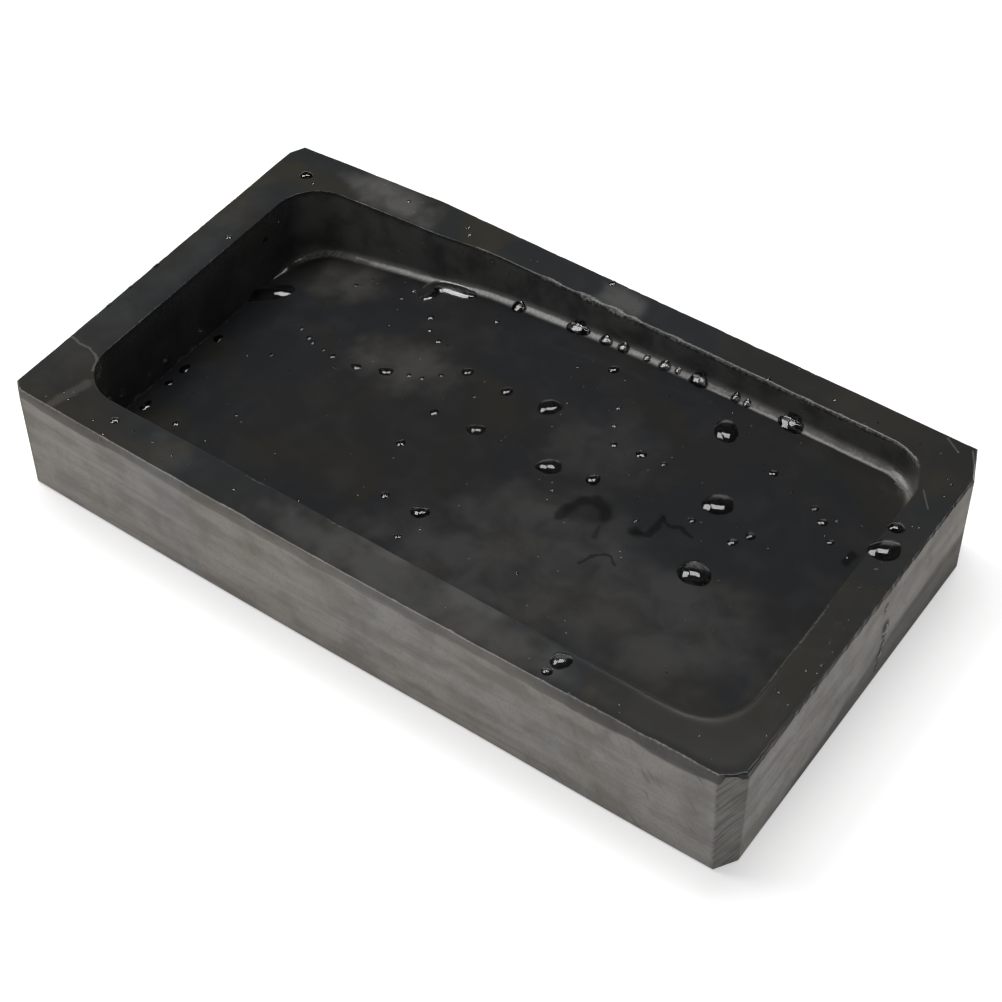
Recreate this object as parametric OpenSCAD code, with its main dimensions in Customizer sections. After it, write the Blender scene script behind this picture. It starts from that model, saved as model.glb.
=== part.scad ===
// Ink stone: one slab of dark slate with a shallow grinding land that rolls down into a deep ink sea.
// The slab lies flat on z = 0 with its length along X, and its pool opens towards +Z.
// The origin is the middle of the underside.  All sizes are millimetres and degrees.

/* [Slab] */
// Length of the slab, left end to right end
slab_length = 200; // [125:1:260]
// Width of the slab, front to back
slab_width = 113.6; // [85:0.1:150]
// Thickness of the slab
slab_height = 32; // [28:0.5:45]
// How far the front face bows out in its middle
front_bow = 1.1; // [0.4:0.1:3]
// How far the back face comes in at the left end
back_taper = 3.2; // [0.5:0.1:6]
// Length over which the back face comes in
back_taper_length = 44; // [25:1:60]

/* [Filed corners] */
// Front left corner, measured along the front
front_left_along = 2.6; // [1:0.1:6]
// Front left corner, measured along the end
front_left_across = 2.4; // [1:0.1:8]
// Front right corner, measured along the front
front_right_along = 4.6; // [1:0.1:8]
// Front right corner, measured along the end
front_right_across = 4.6; // [1:0.1:10]
// Back right corner, measured along the back
back_right_along = 3.9; // [1:0.1:8]
// Back right corner, measured along the end
back_right_across = 9.2; // [1:0.1:12]
// Back left corner, measured along the back
back_left_along = 2; // [1:0.1:6]
// Back left corner, measured along the end
back_left_across = 4; // [1:0.1:8]

/* [Bevels] */
// Bevel filed along the top of the front face
front_bevel = 1.3; // [0.3:0.1:2.5]
// Bevel that breaks the other top edges
top_bevel = 0.5; // [0.2:0.1:1.5]
// Bevel that breaks the bottom edges
base_bevel = 0.6; // [0.2:0.1:1.5]
// Bevel that breaks the mouth of the pool
mouth_bevel = 0.5; // [0.2:0.1:1.2]

/* [Rim] */
// Width of the rim at the left end
rim_left = 10.8; // [7:0.1:16]
// Width of the rim at the right end
rim_right = 9.2; // [7:0.1:16]
// Width of the rim along the front
rim_front = 11.2; // [7:0.1:16]
// Width of the rim along the back
rim_back = 9.3; // [7:0.1:16]
// Width of the back rim towards the left end
rim_back_left = 11.7; // [7:0.1:16]
// Length over which the back rim goes from one width to the other
rim_back_run = 26; // [10:1:40]

/* [Pool] */
// Corner radius of the pool, seen from above
pool_radius = 12; // [8:0.5:20]
// Slope of the pool's walls away from upright
wall_draft = 2; // [0.5:0.5:5]
// Radius of the cove between the walls and the floor
cove_radius = 3; // [1:0.25:5]
// Depth of the level grinding land below the rim
land_depth = 8.2; // [7:0.1:12]
// Length of the level land, from the pool's right wall
land_length = 42; // [25:1:80]
// Depth to which the floor curves down at the left wall
sea_depth = 21.5; // [15:0.25:24]

/* [Hidden] */

slate_grey = [0.17, 0.17, 0.17];

// Facets along the bowed front, round a corner of the pool, along its floor and up its cove
front_steps = 6;
corner_steps = 10;
floor_steps = 24;
cove_steps = 6;

// How far a cutting shape runs past what it cuts, and a bevel's past the ends of its edge
overcut = 1;
bevel_run_out = 16;

left_x = -slab_length / 2;
right_x = slab_length / 2;
front_y = -slab_width / 2;
back_y = slab_width / 2;
taper_x = left_x + back_taper_length;

// Front and back faces of the slab at x
function front_face(x) = front_y + front_bow * pow(x / right_x, 2);
function back_face(x) = back_y - back_taper * max(0, taper_x - x) / back_taper_length;

front_start = left_x + front_left_along;
front_end = right_x - front_right_along;
back_end = left_x + back_left_along;

// Bowed front edge of the slab from left to right, then the rest of its outline, counter-clockwise
front_edge = [
    for (i = [0 : front_steps])
    let (x = front_start + (front_end - front_start) * i / front_steps)
    [x, front_face(x)]
];
other_edges = [
    [right_x, front_face(right_x) + front_right_across],
    [right_x, back_y - back_right_across],
    [right_x - back_right_along, back_y],
    [taper_x, back_y],
    [back_end, back_face(back_end)],
    [left_x, back_face(left_x) - back_left_across],
    [left_x, front_face(left_x) + front_left_across]
];
slab_outline = concat(front_edge, other_edges);

pool_left = left_x + rim_left;
pool_right = right_x - rim_right;
pool_front = front_y + rim_front;
land_start = pool_right - land_length;

// Width of the back rim at x: one width, easing to the other just before the back face comes in
function rim_ease(x) = min(1, max(0, (taper_x + rim_back_run - x) / rim_back_run));
function back_rim(x) =
    rim_back + (rim_back_left - rim_back) * pow(rim_ease(x), 2) * (3 - 2 * rim_ease(x));

// Depth of the floor at x: level land, then a curve that steepens towards the left wall
function floor_depth(x) = land_depth
    + (sea_depth - land_depth) * pow(max(0, land_start - x) / (land_start - pool_left), 2);

// How far the drafted wall has come in where it meets the cove
function wall_inset(x) = (floor_depth(x) - cove_radius) * tan(wall_draft);

// Stations from the pool's left wall to its right: [centre of turn along X, angle of the wall]
turn_left = pool_left + pool_radius;
turn_right = pool_right - pool_radius;
half_outline = concat(
    [for (i = [0 : corner_steps - 1]) [turn_left, 180 + 90 * i / corner_steps]],
    [for (i = [0 : floor_steps]) [turn_left + (turn_right - turn_left) * i / floor_steps, 270]],
    [for (i = [1 : corner_steps]) [turn_right, 270 + 90 * i / corner_steps]]
);

// Stations all the way round: along the front with side -1, then back along the rear with side 1
half_last = len(half_outline) - 1;
pool_outline = concat(
    [for (i = [0 : half_last]) concat(half_outline[i], -1)],
    [for (i = [half_last : -1 : 0]) concat(half_outline[i], 1)]
);

// Plan position of station s when the outline is moved in by inset
function plan_point(s, inset) =
    let (
        radius = pool_radius - inset,
        wall = s[2] < 0 ? pool_front : back_face(s[0]) - back_rim(s[0])
    )
    [s[0] + radius * cos(s[1]), wall - s[2] * (pool_radius + radius * sin(s[1]))];

// Level loop round the mouth, and a loop on the cove at an angle from its wall (0) to the floor (90)
function mouth_loop(inset, z) = [for (s = pool_outline) concat(plan_point(s, inset), z)];
function cove_loop(angle) = [
    for (s = pool_outline)
    let (
        inset = wall_inset(plan_point(s, 0)[0]) + cove_radius * (1 - cos(angle)),
        point = plan_point(s, inset)
    )
    concat(point, slab_height - floor_depth(point[0]) + cove_radius * (1 - sin(angle)))
];

// Loops of the pool, from above its mouth down to the edge of its floor
pool_loops = concat(
    [
        mouth_loop(-mouth_bevel - overcut, slab_height + overcut),
        mouth_loop(0, slab_height - mouth_bevel)
    ],
    [for (i = [0 : cove_steps]) cove_loop(90 * i / cove_steps)]
);

// Hollow of the pool, lofted through its loops and closed by its mouth and its floor
module pool() {
    count = len(pool_outline);
    floor_loop = count * (len(pool_loops) - 1);
    mouth = [[for (i = [count - 1 : -1 : 0]) i]];
    walls = [
        for (start = [0 : count : floor_loop - 1], i = [0 : count - 1])
        let (a = start + i, b = start + (i + 1) % count)
        each [[a, b + count, a + count], [a, b, b + count]]
    ];
    floor_strips = [
        for (i = [0 : half_last - 1])
        let (a = floor_loop + i, b = floor_loop + count - 1 - i)
        each [[a, b - 1, b], [a, a + 1, b - 1]]
    ];
    polyhedron([for (loop = pool_loops) each loop], concat(mouth, walls, floor_strips), 4);
}

// Takes leg off the edge from p to q at 45 degrees: a tilt of 45 bevels a top edge, 135 a bottom one
module bevel_cut(p, q, leg, tilt) {
    along = q - p;
    half_width = leg * sqrt(2) + overcut;
    translate([p[0], p[1], tilt < 90 ? slab_height - leg : leg])
        rotate([0, 0, atan2(along[1], along[0])])
        rotate([tilt, 0, 0])
        translate([-bevel_run_out, -half_width, 0])
        cube([norm(along) + 2 * bevel_run_out, 2 * half_width, leg + overcut]);
}

// The slab before its pool is carved, with its bevels round the top and the bottom
module blank() {
    count = len(slab_outline);
    difference() {
        linear_extrude(slab_height) polygon(slab_outline);
        for (i = [0 : count - 1]) {
            p = slab_outline[i];
            q = slab_outline[(i + 1) % count];
            bevel_cut(p, q, i < front_steps ? front_bevel : top_bevel, 45);
            bevel_cut(p, q, base_bevel, 135);
        }
    }
}

module ink_stone() {
    color(slate_grey)
        difference() {
            blank();
            pool();
        }
}

ink_stone();
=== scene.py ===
"""Ink stone: a rectangular slab of dark slate, carved, filed and freshly rinsed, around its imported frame.

Lengths in this file are millimetres on the part's own axes, unless a name says otherwise: X runs along the
stone towards its level grinding land, Y across it towards the back, and Z up from the underside at z = 0.
They become metres where a mesh, a lamp or the camera is made.
"""

import logging
import math
from dataclasses import dataclass
from enum import Enum
from typing import Callable

import bpy
import numpy as np
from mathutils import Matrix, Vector, noise


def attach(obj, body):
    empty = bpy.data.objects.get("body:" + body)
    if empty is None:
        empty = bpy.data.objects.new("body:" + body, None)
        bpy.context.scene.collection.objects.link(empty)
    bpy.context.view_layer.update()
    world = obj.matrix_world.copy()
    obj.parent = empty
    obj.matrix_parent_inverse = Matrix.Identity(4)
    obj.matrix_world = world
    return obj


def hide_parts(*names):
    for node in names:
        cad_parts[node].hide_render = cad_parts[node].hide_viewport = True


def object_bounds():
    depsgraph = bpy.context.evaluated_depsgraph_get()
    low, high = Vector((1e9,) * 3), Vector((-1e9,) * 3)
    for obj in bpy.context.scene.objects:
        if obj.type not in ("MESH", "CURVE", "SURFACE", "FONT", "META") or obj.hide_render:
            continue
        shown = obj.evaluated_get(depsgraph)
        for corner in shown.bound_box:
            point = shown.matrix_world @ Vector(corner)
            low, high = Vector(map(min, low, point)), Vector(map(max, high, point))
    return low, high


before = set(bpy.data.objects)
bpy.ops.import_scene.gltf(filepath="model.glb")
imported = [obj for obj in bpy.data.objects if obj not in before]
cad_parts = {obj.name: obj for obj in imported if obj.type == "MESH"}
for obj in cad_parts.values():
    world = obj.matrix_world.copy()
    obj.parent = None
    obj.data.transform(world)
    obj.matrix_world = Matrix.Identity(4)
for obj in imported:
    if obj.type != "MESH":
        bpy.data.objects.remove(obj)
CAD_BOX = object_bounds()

LOG = logging.getLogger("ink_stone")
MM = 0.001
BODY = "root"
NODE = "ink_stone"
PAINTS = ("wetness", "worn", "filed", "haze_and_sheen", "silt_and_highlight", "olive", "scored")

Socket = bpy.types.NodeSocket
Direction = tuple[float, float, float]
Wave = tuple[float, float, int]
Faces = list[tuple[int, ...]]


# ---------------------------------------------------------------------------------------------- helpers


def linear(hex_colour: str) -> tuple[float, float, float, float]:
    """Turns an sRGB hex colour into the linear one that a shader takes.

    Args:
        hex_colour: a colour such as "#8a857d".

    Returns:
        Linear red, green and blue with an alpha of 1.
    """
    channels = [int(hex_colour[i : i + 2], 16) / 255 for i in (1, 3, 5)]
    toe, gamma = 0.04045, 2.4
    red, green, blue = (c / 12.92 if c <= toe else ((c + 0.055) / 1.055) ** gamma for c in channels)
    return red, green, blue, 1.0


def smoothstep(low: float, high: float, value: np.ndarray) -> np.ndarray:
    """Eases from 0 to 1 as value goes from low to high.

    Args:
        low: value at which the result is 0.
        high: value at which it is 1.
        value: the values to ease.

    Returns:
        An array like value, between 0 and 1.
    """
    share = np.clip((np.asarray(value, float) - low) / (high - low), 0.0, 1.0)
    return share * share * (3 - 2 * share)


def noise_at(points: np.ndarray, grain: float, seed: int) -> np.ndarray:
    """Reads smooth noise at each point.

    Args:
        points: n points of three coordinates.
        grain: size of a feature, in the points' own unit.
        seed: picks another pattern.

    Returns:
        n values between about -1 and 1.
    """
    # far enough off to give each seed its own part of the noise
    shift = Vector((17.3 * seed, 5.9 * seed, 11.1 * seed))
    return np.array([noise.noise(Vector(p) / grain + shift) for p in points])


def waves_at(points: np.ndarray, *waves: Wave) -> np.ndarray:
    """Adds up several noises at each point.

    Args:
        points: n points of three coordinates.
        waves: the strength, the grain and the seed of each noise.

    Returns:
        n values.
    """
    return sum(strength * noise_at(points, grain, seed) for strength, grain, seed in waves)


def make_mesh(name: str, points: np.ndarray, faces: Faces) -> bpy.types.Object:
    """Makes a smooth-shaded mesh object from points in millimetres.

    Args:
        name: the piece's name.
        points: n points of three coordinates.
        faces: the corners of each face, as indices into points.

    Returns:
        The object, linked to the scene.
    """
    mesh = bpy.data.meshes.new(name)
    mesh.from_pydata((np.asarray(points) * MM).tolist(), [], faces)
    mesh.polygons.foreach_set("use_smooth", [True] * len(mesh.polygons))
    mesh.update()
    piece = bpy.data.objects.new(name, mesh)
    bpy.context.scene.collection.objects.link(piece)
    return piece


# ---------------------------------------------------------------------------------------------- finishes


@dataclass(frozen=True)
class Lines:
    """A pattern of fine lines: the directions across and along them, their pitch, about how long each is,
    and the octaves of finer noise in it."""

    across: Direction
    along: Direction
    pitch: float
    length: float
    detail: float


@dataclass(frozen=True)
class Mark:
    """A thin mark, such as a vein, a scratch or the damp line that a film of water left: its width, its
    strength and the places that it runs through, which have no height where it lies on the upper side."""

    width: float
    strength: float
    way: tuple[tuple[float, ...], ...]


class Shader:
    """The node tree of a material or the world, with the patterns that the finishes are made of, in mm."""

    def __init__(self, owner: bpy.types.Material | bpy.types.World) -> None:
        """Empties the owner's node tree, and reads the place on the part in millimetres.

        Args:
            owner: the material or the world.
        """
        self.owner = owner
        owner.use_nodes = True
        self.tree = owner.node_tree
        self.tree.nodes.clear()
        self.place = self.node("ShaderNodeTexCoord").outputs
        self.mm = self.vector("SCALE", self.place["Object"], Scale=1 / MM)

    def node(
        self,
        kind: str,
        settings: dict[str, object] | None = None,
        inputs: dict[int | str, object] | None = None,
    ) -> bpy.types.Node:
        """Adds one node with its settings and what goes into it.

        Args:
            kind: the node's type, such as "ShaderNodeMath".
            settings: its properties by name.
            inputs: by socket name or number, either a value or the output socket to link.

        Returns:
            The new node.
        """
        node = self.tree.nodes.new(kind)
        for name, value in (settings or {}).items():
            setattr(node, name, value)
        for name, value in (inputs or {}).items():
            if isinstance(value, Socket):
                self.tree.links.new(value, node.inputs[name])
            else:
                node.inputs[name].default_value = value
        return node

    def painted(self, name: str) -> Socket:
        """What the mesh holds at each point under that name."""
        return self.node("ShaderNodeAttribute", {"attribute_name": name}).outputs["Fac"]

    def vector(self, operation: str, *values: Direction | Socket, **named: float | Socket) -> Socket:
        """One sum of the Vector Math node.

        Args:
            operation: what it does, such as "ADD" or "DOT_PRODUCT".
            values: its vectors in order, each a vector or a socket.
            named: its other inputs by name.

        Returns:
            The result, a number for "DOT_PRODUCT" and "DISTANCE" and otherwise a vector.
        """
        inputs = {**dict(enumerate(values)), **named}
        output = 1 if operation in ("DOT_PRODUCT", "DISTANCE") else 0
        return self.node("ShaderNodeVectorMath", {"operation": operation}, inputs).outputs[output]

    def rays(self, *kinds: str) -> Socket:
        """Tells light paths of some kinds from the others.

        Args:
            kinds: the kinds, such as "Camera" or "Glossy".

        Returns:
            1 for a path of any of these kinds, and 0 for the others.
        """
        path = self.node("ShaderNodeLightPath").outputs
        found = path[f"Is {kinds[0]} Ray"]
        for kind in kinds[1:]:
            found = self.math("MAXIMUM", found, path[f"Is {kind} Ray"])
        return found

    def math(self, operation: str, *values: float | Socket) -> Socket:
        """One sum of the Math node, such as "ADD" or "MULTIPLY_ADD"."""
        return self.node("ShaderNodeMath", {"operation": operation}, dict(enumerate(values))).outputs[0]

    def band(self, value: Socket, low: float, high: float) -> Socket:
        """Eases value from 0 at low to 1 at high."""
        limits = {"Value": value, "From Min": low, "From Max": high}
        return self.node("ShaderNodeMapRange", {"interpolation_type": "SMOOTHSTEP"}, limits).outputs[0]

    def mix(self, share: Socket, first: str | Socket, second: str | Socket) -> Socket:
        """Mixes two colours, each a hex colour or a socket: share is how much of the second there is."""
        first, second = (linear(c) if isinstance(c, str) else c for c in (first, second))
        return self.node("ShaderNodeMix", {"data_type": "RGBA"}, {0: share, 6: first, 7: second}).outputs[2]

    def over(self, colour: Socket, tone: str, share: Socket, strength: float | Socket) -> Socket:
        """Lays a tone over a colour, as strongly as share times strength."""
        return self.mix(self.math("MULTIPLY", share, strength), colour, tone)

    def noise(self, size: float, detail: float = 2.0, swirl: float = 0.0, shift: float = 0.0) -> Socket:
        """Noise whose features are about size across.

        Args:
            size: how wide a feature is.
            detail: octaves of finer noise in it.
            swirl: how far it is distorted.
            shift: moves it, to get another pattern.

        Returns:
            The noise, from 0 to 1.
        """
        place = self.vector("ADD", self.mm, (shift,) * 3)
        inputs = {"Vector": place, "Scale": 1 / size, "Detail": detail, "Distortion": swirl}
        return self.node("ShaderNodeTexNoise", None, inputs).outputs["Fac"]

    def lines(self, lines: Lines) -> Socket:
        """Noise drawn out into lines.

        Args:
            lines: the pattern.

        Returns:
            The noise, from 0 to 1.
        """
        spans = [
            self.vector("DOT_PRODUCT", self.mm, tuple(Vector(way).normalized() / span))
            for way, span in ((lines.across, lines.pitch), (lines.along, lines.length))
        ]
        place = self.node("ShaderNodeCombineXYZ", None, {0: spans[0], 1: spans[1]}).outputs[0]
        inputs = {"Vector": place, "Scale": 1.0, "Detail": lines.detail}
        return self.node("ShaderNodeTexNoise", None, inputs).outputs["Fac"]

    def specks(self, spacing: float, size: float) -> Socket:
        """Round specks strewn about, most of them far smaller than the largest.

        Args:
            spacing: how far apart they are.
            size: how wide the largest is.

        Returns:
            1 in a speck and 0 elsewhere.
        """
        rarity, soft_edge = 3.0, 0.2
        cells = self.node("ShaderNodeTexVoronoi", None, {"Vector": self.mm, "Scale": 1 / spacing})
        chance = self.node("ShaderNodeSeparateColor", None, {0: cells.outputs["Color"]}).outputs[0]
        reach = self.math("MULTIPLY", self.math("POWER", chance, rarity), size / spacing / 2)
        inside = self.math("SUBTRACT", reach, cells.outputs["Distance"])
        return self.band(inside, 0.0, soft_edge * size / spacing)

    def wandering(self, reach: float, size: float) -> Socket:
        """The place on the part, moved about in waves so that what is drawn by it wanders.

        Args:
            reach: how far it is moved at most.
            size: about how long a wave is.

        Returns:
            The place, in millimetres.
        """
        swing = 0.25  # the noise keeps within about this of its middle
        inputs = {"Vector": self.mm, "Scale": 1 / size, "Detail": 3.0}
        waves = self.node("ShaderNodeTexNoise", None, inputs).outputs["Color"]
        centred = self.vector("SUBTRACT", waves, (0.5, 0.5, 0.5))
        return self.vector("MULTIPLY_ADD", centred, (reach / swing,) * 3, self.mm)

    def mark(self, mark: Mark, place: Socket) -> Socket:
        """One thin mark with soft edges.

        Args:
            mark: the mark.
            place: the place on the part, which may wander.

        Returns:
            Its strength along it, and 0 elsewhere.
        """
        core, edge = 0.2 * mark.width, 0.7 * mark.width
        rise = len(mark.way[0]) - 2.0  # 0 where the mark's places have no height, and otherwise 1
        seen = self.vector("MULTIPLY", place, (1.0, 1.0, rise))
        nearest: Socket | None = None
        for start, end in zip(mark.way, mark.way[1:]):
            low, high = (Vector((*point, 0.0)[:3]) for point in (start, end))
            way = high - low
            beside = self.vector("SUBTRACT", seen, tuple(low))
            share = self.vector("DOT_PRODUCT", beside, tuple(way / way.length_squared))
            share = self.node("ShaderNodeClamp", None, {"Value": share}).outputs[0]
            away = self.vector("DISTANCE", beside, self.vector("SCALE", tuple(way), Scale=share))
            nearest = away if nearest is None else self.math("MINIMUM", nearest, away)
        return self.math("MULTIPLY", self.band(nearest, edge, core), mark.strength)

    def finish(self, surface: Socket) -> bpy.types.Material | bpy.types.World:
        """Sends a shader to the owner's surface.

        Args:
            surface: the shader, or the world's background.

        Returns:
            The owner.
        """
        kind = "World" if isinstance(self.owner, bpy.types.World) else "Material"
        self.node(f"ShaderNodeOutput{kind}", None, {"Surface": surface})
        return self.owner


@dataclass(frozen=True)
class RinsedSlate:
    """Slate, sawn to a slab, carved and rubbed with grit, and rinsed just before.

    Its sides have dried to a chalky warm grey, streaked by the bedding, with faint saw lines and the
    scratches of the rubbing stone, and the foot of the right face is darker, but as matt.
    The rim is damp, and so almost black and satin, with bluish and olive clouds and a smoky haze where it
    starts to dry; that haze is also painted sheen, lighter patches for the lamps' reflection on the wet
    stone, and painted light on the pool's walls, most on the back wall.  The pool is wet, blacker and
    smoother, and the silt in its hollow also carries a painted highlight along the back of the fillet.
    Worn edges are crushed to a paler grey, and the filed corners are darker, with the ridges of the file.
    """

    name: str = "rinsed_slate"
    dry_light: str = "#aba7a1"
    dry_warm: str = "#9e9991"
    dry_cool: str = "#979694"
    dry_dark: str = "#868179"
    filed_dark: str = "#64635d"
    damp_blue: str = "#282a2b"
    damp_black: str = "#2a2a29"
    damp_olive: str = "#302e29"
    wet_blue: str = "#222325"
    wet_black: str = "#242424"
    wet_olive: str = "#272623"
    # painted sheen as well as drying haze: the lighter tone laid over the damp and wet stone
    haze_and_sheen: str = "#5e5d5c"
    crushed: str = "#9a9792"
    # silt, and a painted highlight along the pool's fillet where the lamps' reflection lies
    silt_and_highlight: str = "#8f8b83"
    soaked: str = "#101010"
    # Clouds and mottles are as wide as in such slate.  Its grain, a few hundredths of a millimetre, and the
    # finest lines of the grit are too fine to show, and are drawn as coarse as they need to show.
    cloud: float = 34.0
    tint: float = 27.2
    mottle: float = 8.0
    grain: float = 0.6
    dust: float = 0.9
    fleck: float = 0.8
    crumble: float = 1.2
    bedding: Lines = Lines((0, 0.02, 1), (1, 1, 0.04), 5.0, 26.0, 5.0)
    saw: Lines = Lines((0, 0.02, 1), (1, 1, 0.04), 1.6, 34.0, 4.0)
    rubbing: Lines = Lines((0.83, 0.83, 0.56), (0.56, 0.56, -0.83), 1.1, 6.0, 3.0)
    filing: Lines = Lines((1.0, 1.0, -1.36), (1.0, 1.0, 1.4), 0.7, 12.0, 2.0)
    # What shines is the film of water, so the stone has its index of refraction.
    ior: float = 1.333
    dry_roughness: float = 0.70
    wet_roughness: float = 0.13
    hairline: float = 0.5
    wander_reach: float = 0.5
    wander_size: float = 3.0
    pale_marks_and_highlight: tuple[Mark, ...] = (
        # a faint pale line across the front-left rim to the pool's corner: a painted highlight
        Mark(2.6, 0.08, ((-88.2, -56.6), (-87.6, -52.9), (-85.4, -44.9))),
        Mark(0.7, 0.17, ((-99.0, -35.1), (-92.8, -35.7), (-89.0, -37.2), (-87.6, -40.6))),
        Mark(0.4, 0.16, ((83.0, 43.5), (86.0, 42.6), (89.0, 40.0))),
        Mark(0.4, 0.16, ((92.0, 38.0), (95.5, 33.5))),
        Mark(0.5, 0.16, ((89.0, 55.6), (93.0, 53.0))),
        Mark(0.5, 0.20, ((95.6, 55.2), (98.2, 51.0))),
    )
    damp_marks: tuple[Mark, ...] = (
        Mark(3.0, 0.65, ((24.9, -9.0), (25.2, -5.6), (26.8, -2.4), (29.2, -0.4), (32.0, -1.3), (34.0, -3.8))),
        Mark(8.0, 0.50, ((27.6, -4.6), (31.4, -3.8))),
        Mark(1.2, 0.45, ((34.4, -6.8), (35.4, -10.4))),
        Mark(2.8, 0.65, ((41.2, -3.4), (42.6, -3.8))),
        Mark(1.8, 0.75, ((42.0, -3.9), (44.9, -2.9), (45.1, 0.6), (44.7, 3.8))),
        Mark(1.2, 0.70, ((44.7, 3.8), (47.4, 2.2), (49.5, 3.3), (53.0, 2.4))),
        Mark(0.8, 0.60, ((36.4, -18.6), (37.5, -15.6), (39.6, -13.1), (41.6, -12.8), (43.4, -14.6))),
        Mark(2.4, 0.80, ((85.6, 15.6), (85.9, 18.6))),
        Mark(1.9, 0.85, ((100.0, 7.4, 27.0), (100.0, 7.4, 25.6))),
        Mark(3.2, 0.85, ((100.0, 8.9, 18.8), (100.0, 9.3, 15.2))),
        Mark(2.1, 0.85, ((100.0, 9.2, 12.3), (100.0, 9.1, 10.8))),
        Mark(2.3, 0.85, ((100.0, 8.6, 9.4), (100.0, 8.4, 7.6))),
        Mark(1.8, 0.85, ((100.0, 8.2, 5.3), (100.0, 8.1, 4.1))),
    )

    def _patterns(self, s: Shader) -> dict[str, Socket]:
        """Reads what is painted on the mesh, and makes the patterns that colour and relief share.

        Args:
            s: the material's nodes.

        Returns:
            The paints and the patterns by name.
        """
        found = {name: s.painted(name) for name in PAINTS}
        found |= {
            "cloud": s.noise(self.cloud, 4.0, 0.6),
            "tint": s.noise(self.tint, 3.0, 0.8, 91.0),
            "mottle": s.noise(self.mottle, 6.0, 0.4, 37.0),
            "grain": s.noise(self.grain, 4.0),
            "bedding": s.lines(self.bedding),
            "saw": s.lines(self.saw),
            "rubbing": s.lines(self.rubbing),
            "ridges": s.lines(self.filing),
        }
        found["damp"] = s.band(found["wetness"], 0.0, 0.7)
        found["dry"] = s.math("SUBTRACT", 1.0, found["damp"])
        found["scratches"] = s.math("MULTIPLY", found["scored"], s.band(found["rubbing"], 0.58, 0.70))
        return found

    def _dry(self, s: Shader, p: dict[str, Socket]) -> Socket:
        """Colour of the dry stone.

        Args:
            s: the material's nodes.
            p: the paints and patterns.

        Returns:
            The colour: the bedding's streaks, the saw's lines, grain and pits, then scratches, pale scrapes
            and the file's ridges.
        """
        streaks = s.math("MULTIPLY", s.math("ADD", p["bedding"], p["mottle"]), 0.5)
        scrapes = s.math("MULTIPLY", p["scored"], s.band(p["rubbing"], 0.42, 0.30))
        ridged = s.math("MULTIPLY_ADD", s.band(p["ridges"], 0.46, 0.62), 0.45, 0.40)
        colour = s.mix(s.band(p["cloud"], 0.36, 0.64), self.dry_warm, self.dry_cool)
        for tone, share, strength in (
            (self.dry_light, s.band(streaks, 0.44, 0.64), 0.85),
            (self.dry_dark, s.band(streaks, 0.53, 0.36), 0.75),
            (self.dry_dark, s.band(p["saw"], 0.50, 0.74), 0.45),
            (self.dry_dark, s.band(p["grain"], 0.50, 0.75), 0.45),
            (self.filed_dark, s.specks(4.3, 1.0), 0.45),
            (self.filed_dark, p["scratches"], 0.35),
            (self.crushed, scrapes, 0.45),
            (self.filed_dark, p["filed"], ridged),
        ):
            colour = s.over(colour, tone, share, strength)
        return colour

    def _damp(self, s: Shader, p: dict[str, Socket], wet: Socket) -> Socket:
        """Colour of the damp and the wet stone.

        Args:
            s: the material's nodes.
            p: the paints and patterns.
            wet: 0 on damp stone and 1 on wet stone.

        Returns:
            The colour: black with bluish and olive clouds, under the haze.
        """
        olive = s.math("MAXIMUM", s.band(p["tint"], 0.50, 0.70), p["olive"])
        blue = s.band(p["cloud"], 0.42, 0.60)
        rim = s.mix(olive, s.mix(blue, self.damp_black, self.damp_blue), self.damp_olive)
        pool = s.mix(olive, s.mix(blue, self.wet_black, self.wet_blue), self.wet_olive)
        # the haze paint lays drying haze, painted sheen and the walls' painted light over the damp stone
        haze_and_sheen_share = s.math("MULTIPLY_ADD", s.band(p["mottle"], 0.40, 0.80), 0.05, p["haze_and_sheen"])
        patchy = s.math("MULTIPLY_ADD", s.band(p["mottle"], 0.25, 0.60), 0.6, 0.4)
        return s.over(s.mix(wet, rim, pool), self.haze_and_sheen, haze_and_sheen_share, patchy)

    def _worn(self, s: Shader, p: dict[str, Socket], colour: Socket) -> Socket:
        """Adds silt and its painted highlight, crushed edges, light specks and the thin marks.

        Args:
            s: the material's nodes.
            p: the paints and patterns.
            colour: the stone's colour so far.

        Returns:
            The colour with them.
        """
        dusty = s.math("MULTIPLY_ADD", s.band(s.noise(self.dust, 4.0, 0.3, 71.0), 0.38, 0.62), 0.75, 0.25)
        flecked = s.math("MULTIPLY_ADD", s.band(s.noise(self.fleck, 4.0, 0.0, 53.0), 0.43, 0.60), 0.92, 0.08)
        # silt in the hollow, which also paints the highlight along the fillet
        colour = s.over(colour, self.silt_and_highlight, p["silt_and_highlight"], dusty)
        colour = s.over(colour, self.crushed, p["worn"], flecked)
        colour = s.over(colour, self.crushed, s.specks(3.1, 0.5), 0.30)
        wandering = s.wandering(self.wander_reach, self.wander_size)
        # pale marks, one of them a painted highlight, then the dark damp marks
        for marks, tone in ((self.pale_marks_and_highlight, self.crushed), (self.damp_marks, self.soaked)):
            for mark in marks:
                place = wandering if mark.width > self.hairline else s.mm
                colour = s.mix(s.mark(mark, place), colour, tone)
        return colour

    def _relief(self, s: Shader, p: dict[str, Socket]) -> Socket:
        """Height of the grain, saw lines, scratches, file ridges and crumbled edges.

        Args:
            s: the material's nodes.
            p: the paints and patterns.

        Returns:
            The height in millimetres.
        """
        height = s.math("MULTIPLY", p["grain"], s.math("MULTIPLY_ADD", p["dry"], 0.035, 0.003))
        for pattern, share, depth in (
            (p["saw"], p["dry"], 0.05),
            (p["scratches"], 1.0, -0.04),
            (p["ridges"], p["filed"], 0.12),
            (s.noise(self.crumble, 3.0, 0.3, 7.0), p["worn"], 0.12),
        ):
            height = s.math("MULTIPLY_ADD", s.math("MULTIPLY", pattern, share), depth, height)
        return height

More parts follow.
